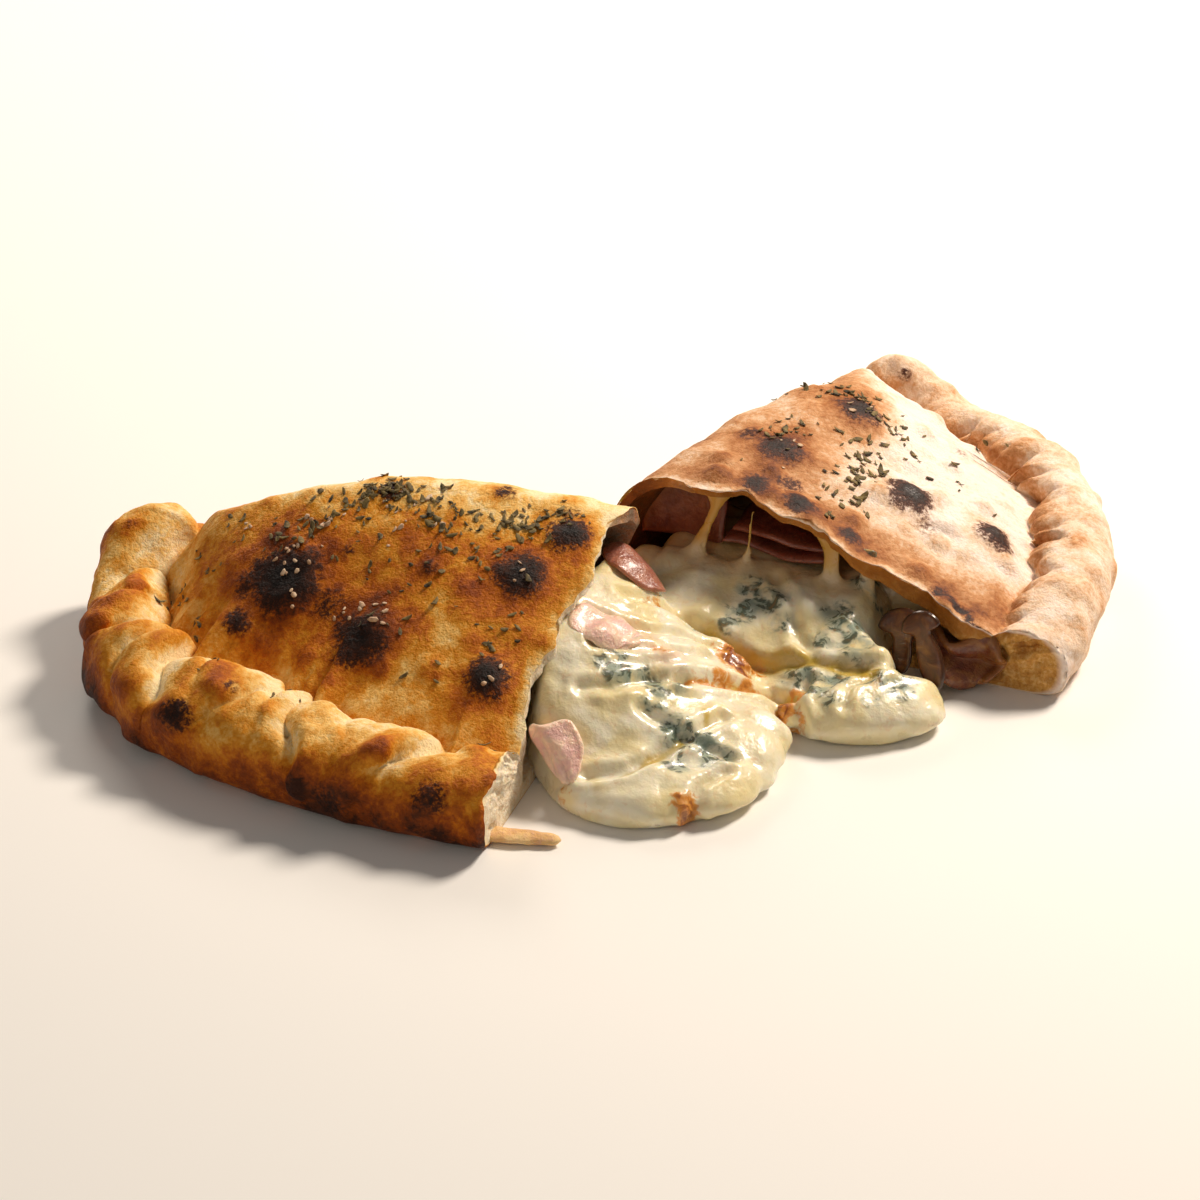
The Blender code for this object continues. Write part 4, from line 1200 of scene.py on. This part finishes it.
def patchOf(corners, s, t):
    # straight-sided patch: the four corners mixed by s across and t down
    first, second, third, fourth = (np.array(corner, float) for corner in corners)
    s, t = (s + 0 * t)[..., None], (t + 0 * s)[..., None]
    return (first * (1 - s) + second * s) * (1 - t) + (third * (1 - s) + fourth * s) * t


def heightOver(places, cloud, reach=1.8):
    # height of the highest of the cloud's points within "reach" mm of each place, then 14 times the
    # mean of its four neighbours in the grid
    flat = places[..., :2]
    low, high = flat.min((0, 1)) - reach, flat.max((0, 1)) + reach
    near = cloud[np.all((cloud[:, :2] > low) & (cloud[:, :2] < high), axis=1)]
    away = np.hypot(flat[..., None, 0] - near[:, 0], flat[..., None, 1] - near[:, 1])
    top = np.where(away < reach, near[:, 2], 0).max(axis=-1)
    for _ in range(14):
        wide = np.pad(top, 1, mode="edge")
        top = (wide[:-2, 1:-1] + wide[2:, 1:-1] + wide[1:-1, :-2] + wide[1:-1, 2:]) / 4
    return top


def buildHam(cheese, meats):
    # each slice is a patch bent by sines of its own two parameters, s across and t down
    s, t = np.linspace(0, 1, 64)[:, None], np.linspace(0, 1, 44)[None, :]
    across = 0.5 + (s - 0.5) * np.sqrt(1 - 0.5 * (2 * t - 1) ** 2)  # rounds the patch's corners
    down = 0.5 + (t - 0.5) * np.sqrt(1 - 0.5 * (2 * s - 1) ** 2)
    # folded strip that hangs out of the left mouth: bulged outwards, its left edge turned back
    local = patchOf(hamSlices["hamFront"]["corners"], across, down)
    turnedBack = 4 * (1 - ease(s, 0, 0.16))
    local[..., 0] += 2.6 * np.sin(math.pi * s) - turnedBack - np.sin(9 * s + 2 * t)
    folds = 1.8 * hill(s - 0.64 - 0.1 * t, 0.12) - 1.3 * hill(s - 0.4 + 0.12 * t, 0.1)
    local[..., 0] += folds * ease(t, 0.05, 0.4)
    local[..., 2] += 0.8
    slicePiece("hamFront", toWorld(leftHalf, local), meats)
    # slices draped over the filling, their edges rounded and sunk into the cheese
    dome = (np.sin(math.pi * s) * np.sin(math.pi * t)) ** 0.6
    local = patchOf(hamSlices["hamBack"]["corners"], across, down)
    rest = heightOver(toWorld(leftHalf, local), cheese)
    local[..., 2] = rest + 1.1 * dome + 0.4 * np.sin(7 * s + 5 * t)
    slicePiece("hamBack", toWorld(leftHalf, local), meats)
    local = patchOf(hamSlices["hamMiddle"]["corners"], across, down)
    rest = heightOver(toWorld(leftHalf, local), cheese)
    local[..., 2] = rest + 0.5 * dome - 1.3 + 0.8 * np.sin(11 * s + 3 * t)
    slicePiece("hamMiddle", toWorld(leftHalf, local), meats)
    # slices inside the right half, behind the strands of cheese
    waves = {  # what is added into the half, and upwards
        "hamCurled": (3 * np.sin(3 * s), (13 + 6 * np.sin(3.1 * s)) * np.sin(1.5 * t)),
        "hamLower": (1.5 * np.sin(6 * s), np.sin(7 * s + 1)),
        "hamUpper": (1.5 * np.sin(5 * s + 2), 1.2 * np.sin(5 * s)),
    }
    for name, (sway, lift) in waves.items():
        (startA, longA), (startB, longB), up = (hamSlices[name][key] for key in ("along", "into", "up"))
        a, b = startA + longA * s + 0 * t, startB + longB * t + sway
        slicePiece(name, inHalf(rightHalf, a, b, up + lift + 0 * t), meats)
    # crumpled slice between the mushrooms and the rim
    local = patchOf(hamSlices["hamRight"]["corners"], across, down)
    local[..., 1] += 2.6 * np.sin(7 * s + 2) + 2.0 * np.sin(9 * t + 5 * s)
    local[..., 2] += 1.8 * np.sin(6.3 * s + 2 * t)
    local[..., 2] = np.maximum(local[..., 2], 1.8)
    slicePiece("hamRight", toWorld(rightHalf, local), meats)


mushroomSlices = {  # cap radius, stem, place in the right half's frame, roll and lean in degrees
    "mushroom_near": (8.0, 13, (101, -7.5, 17.5), 6, 68),
    "mushroom_far": (6.5, 23, (108, -11.5, 22), 24, 70),
}


def mushroomOutline(cap, stem, theta):
    # radius from the middle of the cap at each angle: a domed cap above, gills cut back to a stem below
    down = hill(np.abs(theta - 1.5 * math.pi), 0.42)
    return cap * (0.52 + 0.48 * ease(np.sin(theta), -0.35, 0.15)) + (0.75 * stem + 0.1 * cap) * down


def buildMushroom(name, material):
    # rings drawn in from the outline over both faces, 3 mm apart, bent by sines, rolled and leant back
    cap, stem, (alongCap, intoCap, upCap), roll, lean = mushroomSlices[name]
    theta = turns(90)
    reach = mushroomOutline(cap, stem, theta)
    share = np.sin(0.5 * math.pi * np.linspace(0.06, 1, 14))
    out = np.concatenate([share, share[::-1]])[:, None]
    side = np.concatenate([np.ones(14), -np.ones(14)])[:, None]
    thick = 1.5 * side * np.sqrt(np.clip(1 - out**8, 0.03, 1)) + 0 * theta
    p, q = out * reach * np.cos(theta), out * reach * np.sin(theta) * 0.9
    offset = thick + (0.7 * np.sin(p / 4) + 0.5 * np.sin(q / 3 + 1))
    roll, lean = math.radians(roll), math.radians(lean)
    u, v = p * math.cos(roll) - q * math.sin(roll), p * math.sin(roll) + q * math.cos(roll)
    b = intoCap + v * math.cos(lean) - offset * math.sin(lean)
    z = np.maximum(upCap + v * math.sin(lean) + offset * math.cos(lean), 0.4)
    mesh = skinMesh(*closedSkin(inHalf(rightHalf, alongCap + u, b, z)))
    edge = np.append((ease(out, 0.75, 1.0) + 0 * theta).ravel(), [0, 0])
    makePiece(name + "Slice", mesh, material, (name,), {"edge": edge})


crustFlake = {  # loose flake of bottom crust in front of the left half, in its frame
    "start": (122, 5),  # along, into
    "run": (-4.5, -24.5),
    "width": (3.8, 2.3),  # half of it, at the two ends
    "thick": 1.5,  # half of it
}


def buildFlake(material):
    # ellipses along a slightly curved line, drawn in at both ends, shaken a little
    t = np.linspace(0, 1, 30)[:, None]
    theta = turns(24)[None, :]
    (startA, startB), (runA, runB) = crustFlake["start"], crustFlake["run"]
    wide, narrow = crustFlake["width"]
    width = (wide + (narrow - wide) * t) * np.sqrt(np.clip(1 - (2 * t - 1) ** 10, 0.02, 1))
    a = startA + runA * t + width * np.cos(theta)
    b = startB + runB * t + 0.8 * np.sin(9 * t)
    z = 1.7 + crustFlake["thick"] * np.sin(theta) * np.sqrt(np.clip(1 - (2 * t - 1) ** 8, 0.02, 1))
    rows = inHalf(leftHalf, a, b + 0 * a, z)
    rows = rows + 0.5 * shaken(rows, 4, 70)
    rows[..., 2] = np.maximum(rows[..., 2], 0.02)
    mesh = skinMesh(*closedSkin(rows))
    zero = np.zeros(len(mesh.vertices))
    marks = {"toast": zero + 0.3, "char": zero, "crumb": zero + 0.35, "glow": zero}
    makePiece("crustFlake", mesh, material, (), marks)


bakedCrustLeft = crustMaterial("bakedWheatCrust", goldenCrust)
bakedCrustRight = crustMaterial("bakedWheatCrustPale", paleCrust)
blueCheese = cheeseMaterial()
meats = {name: hamMaterial(name, *tones) for name, tones in hamFinishes.items()}
mushroomFlesh = mushroomMaterial()
herbDry = scrapMaterial("driedOregano", "#2c2410", "#8a7440", 2.6, 0.75)
grainDry = scrapMaterial("semolinaGrain", "#a87c58", "#dcc0a0", 2.0, 0.5)
print("materials made")

leftSkin = buildCrust(leftHalf, crustCounts, bakedCrustLeft)
rightSkin = buildCrust(rightHalf, crustCounts, bakedCrustRight)
buildFlake(bakedCrustLeft)
cheeseSkin = buildCheese(blueCheese)
buildFill(leftHalf, blueCheese)
buildFill(rightHalf, blueCheese)
buildHam(cheeseSkin, meats)
for sliceName in mushroomSlices:
    buildMushroom(sliceName, mushroomFlesh)

# each row of places is along, into, up, spread, count
herbs = {
    "scrap": (0.55, 1.6, (1.25, 0.6, 0.6), 0.35),  # smallest and largest, stretch, height off the crust
    "curl": 0.4,
    "left": (
        (34, 64, 56, 7, 46), (39, 73, 54, 6, 22), (45, 81, 50, 6, 16), (51, 90, 46, 5, 10),
        (55, 98, 42, 5, 8), (39, 51, 54, 5, 16), (40, 42, 53, 6, 20), (36, 28, 54, 5, 18),
        (34, 20, 53, 6, 22), (30, 14, 53, 5, 16), (43, 28, 51, 7, 12), (52, 34, 48, 9, 9),
        (61, 43, 44, 12, 10), (71, 49, 38, 12, 6), (72, 20, 36, 6, 6), (90, 29, 25, 8, 3),
        (66, 10, 38, 8, 5), (111, 11, 21, 4, 2), (62, 126, 19, 6, 9), (76, 115, 20, 5, 5),
        (103, 95, 24, 4, 4), (104, 72, 20, 5, 4), (60, 120, 28, 8, 6), (50, 60, 50, 30, 26),
        (45, 110, 42, 14, 6)),
    "right": (
        (55, 76, 48, 7, 18), (67, 70, 45, 6, 14), (74, 75, 43, 6, 8), (77, 61, 43, 7, 7),
        (91, 60, 37, 7, 5), (65, 52, 47, 6, 9), (71, 47, 45, 5, 9), (73, 38, 44, 5, 10),
        (69, 31, 45, 4, 9), (77, 42, 43, 4, 7), (69, 21, 45, 4, 9), (76, 24, 42, 4, 9),
        (71, 10, 44, 3, 5), (46, 43, 51, 6, 14), (43, 34, 51, 6, 12), (51, 80, 48, 7, 9),
        (105, 60, 32, 10, 3), (92, 105, 26, 8, 3), (35, 67, 48, 9, 6)),
}
grains = {
    "scrap": (0.5, 1.25, (1.2, 0.8, 0.45), 0.3),
    "curl": 0.25,
    "left": (
        (61, 91, 40, 6, 7), (60, 86, 41, 5, 5), (50, 83, 47, 4, 5), (73, 63, 35, 4, 6),
        (73, 53, 36, 4, 5), (72, 84, 33, 3, 3), (49, 58, 50, 5, 4), (47, 110, 42, 3, 3),
        (43, 48, 53, 6, 5), (84, 16, 28, 3, 3), (40, 70, 53, 8, 6), (52, 18, 46, 3, 3)),
    "right": ((60, 66, 47, 6, 4), (47, 30, 50, 6, 4)),
}
rng = np.random.default_rng(17)
leaf, rock = unitRock(3, 7, 0.3), unitRock(3, 6, 0.8)
scrapKinds = (("herbs_", herbs, leaf, herbDry), ("grains_", grains, rock, grainDry))
for half, skin in ((leftHalf, leftSkin), (rightHalf, rightSkin)):
    for label, table, shape, dry in scrapKinds:
        scraps = strewn(rng, skin, table[half["name"]], shape, table["scrap"], table["curl"], 0.12)
        makePiece(label + half["name"], skinMesh(*scraps), dry)


studio = {
    "target": (-0.00224, -0.03056, 0.028),  # metres, as are the distances and sizes
    "elevation": 31,
    "distance": 1.0,
    "lens": 99,
    "sensor": 36,
    "floorHalf": 4,
    "floor": "#f4f2ef",
    "sky": ("#fff8f0", 0.16),
    # name, azimuth from the camera side, elevation, distance, size, watts, colour
    "lamps": (
        ("key", 126, 46, 1.1, 0.30, 15.5, "#fff1e0"),
        ("fill", -30, 28, 1.2, 0.9, 1.5, "#fff2e2"),
        ("back", 200, 30, 1.2, 0.5, 5, "#fff4e6"),
    ),
}


def around(azimuth, elevation, distance):
    # a place on a ball round the target: azimuth 0 is the camera's side, 90 is +X
    a, e = math.radians(azimuth), math.radians(elevation)
    step = Vector((math.sin(a) * math.cos(e), -math.cos(a) * math.cos(e), math.sin(e)))
    return Vector(studio["target"]) + step * distance


def aimed(thing, place):
    # a lamp or camera put there with its -Z turned to the target
    thing.location = place
    thing.rotation_euler = (Vector(studio["target"]) - place).to_track_quat("-Z", "Y").to_euler()
    bpy.context.scene.collection.objects.link(thing)


wide = studio["floorHalf"]
floorCorners = [(-wide, -wide, 0), (wide, -wide, 0), (wide, wide, 0), (-wide, wide, 0)]
floorMesh = bpy.data.meshes.new("studioFloor")
floorMesh.from_pydata(floorCorners, [], [(0, 1, 2, 3)])
floorMaterial, _, floorShader, _ = newMaterial("paleStudioFloor")  # matt painted board
fillSockets(floorShader, {"Base Color": colour(studio["floor"]), "Roughness": 0.8})
floorMesh.materials.append(floorMaterial)
floor = bpy.data.objects.new("studioFloor", floorMesh)
bpy.context.scene.collection.objects.link(floor)

world = bpy.data.worlds.new("softSky")
world.use_nodes = True
skyColour, skyStrength = studio["sky"]
fillSockets(world.node_tree.nodes["Background"], {"Color": colour(skyColour), "Strength": skyStrength})
bpy.context.scene.world = world

for name, azimuth, elevation, distance, size, watts, tint in studio["lamps"]:
    lamp = bpy.data.lights.new(name, "AREA")
    lamp.shape = "DISK"
    lamp.size = size
    lamp.energy = watts
    lamp.color = colour(tint)[:3]
    aimed(bpy.data.objects.new(name, lamp), around(azimuth, elevation, distance))

lens = bpy.data.cameras.new("camera")
lens.lens = studio["lens"]
lens.sensor_width = studio["sensor"]
lens.clip_start = 0.01
camera = bpy.data.objects.new("camera", lens)
aimed(camera, around(0, studio["elevation"], studio["distance"]))
bpy.context.scene.camera = camera
bpy.context.scene.view_settings.view_transform = "Standard"
print("floor, light and camera made")
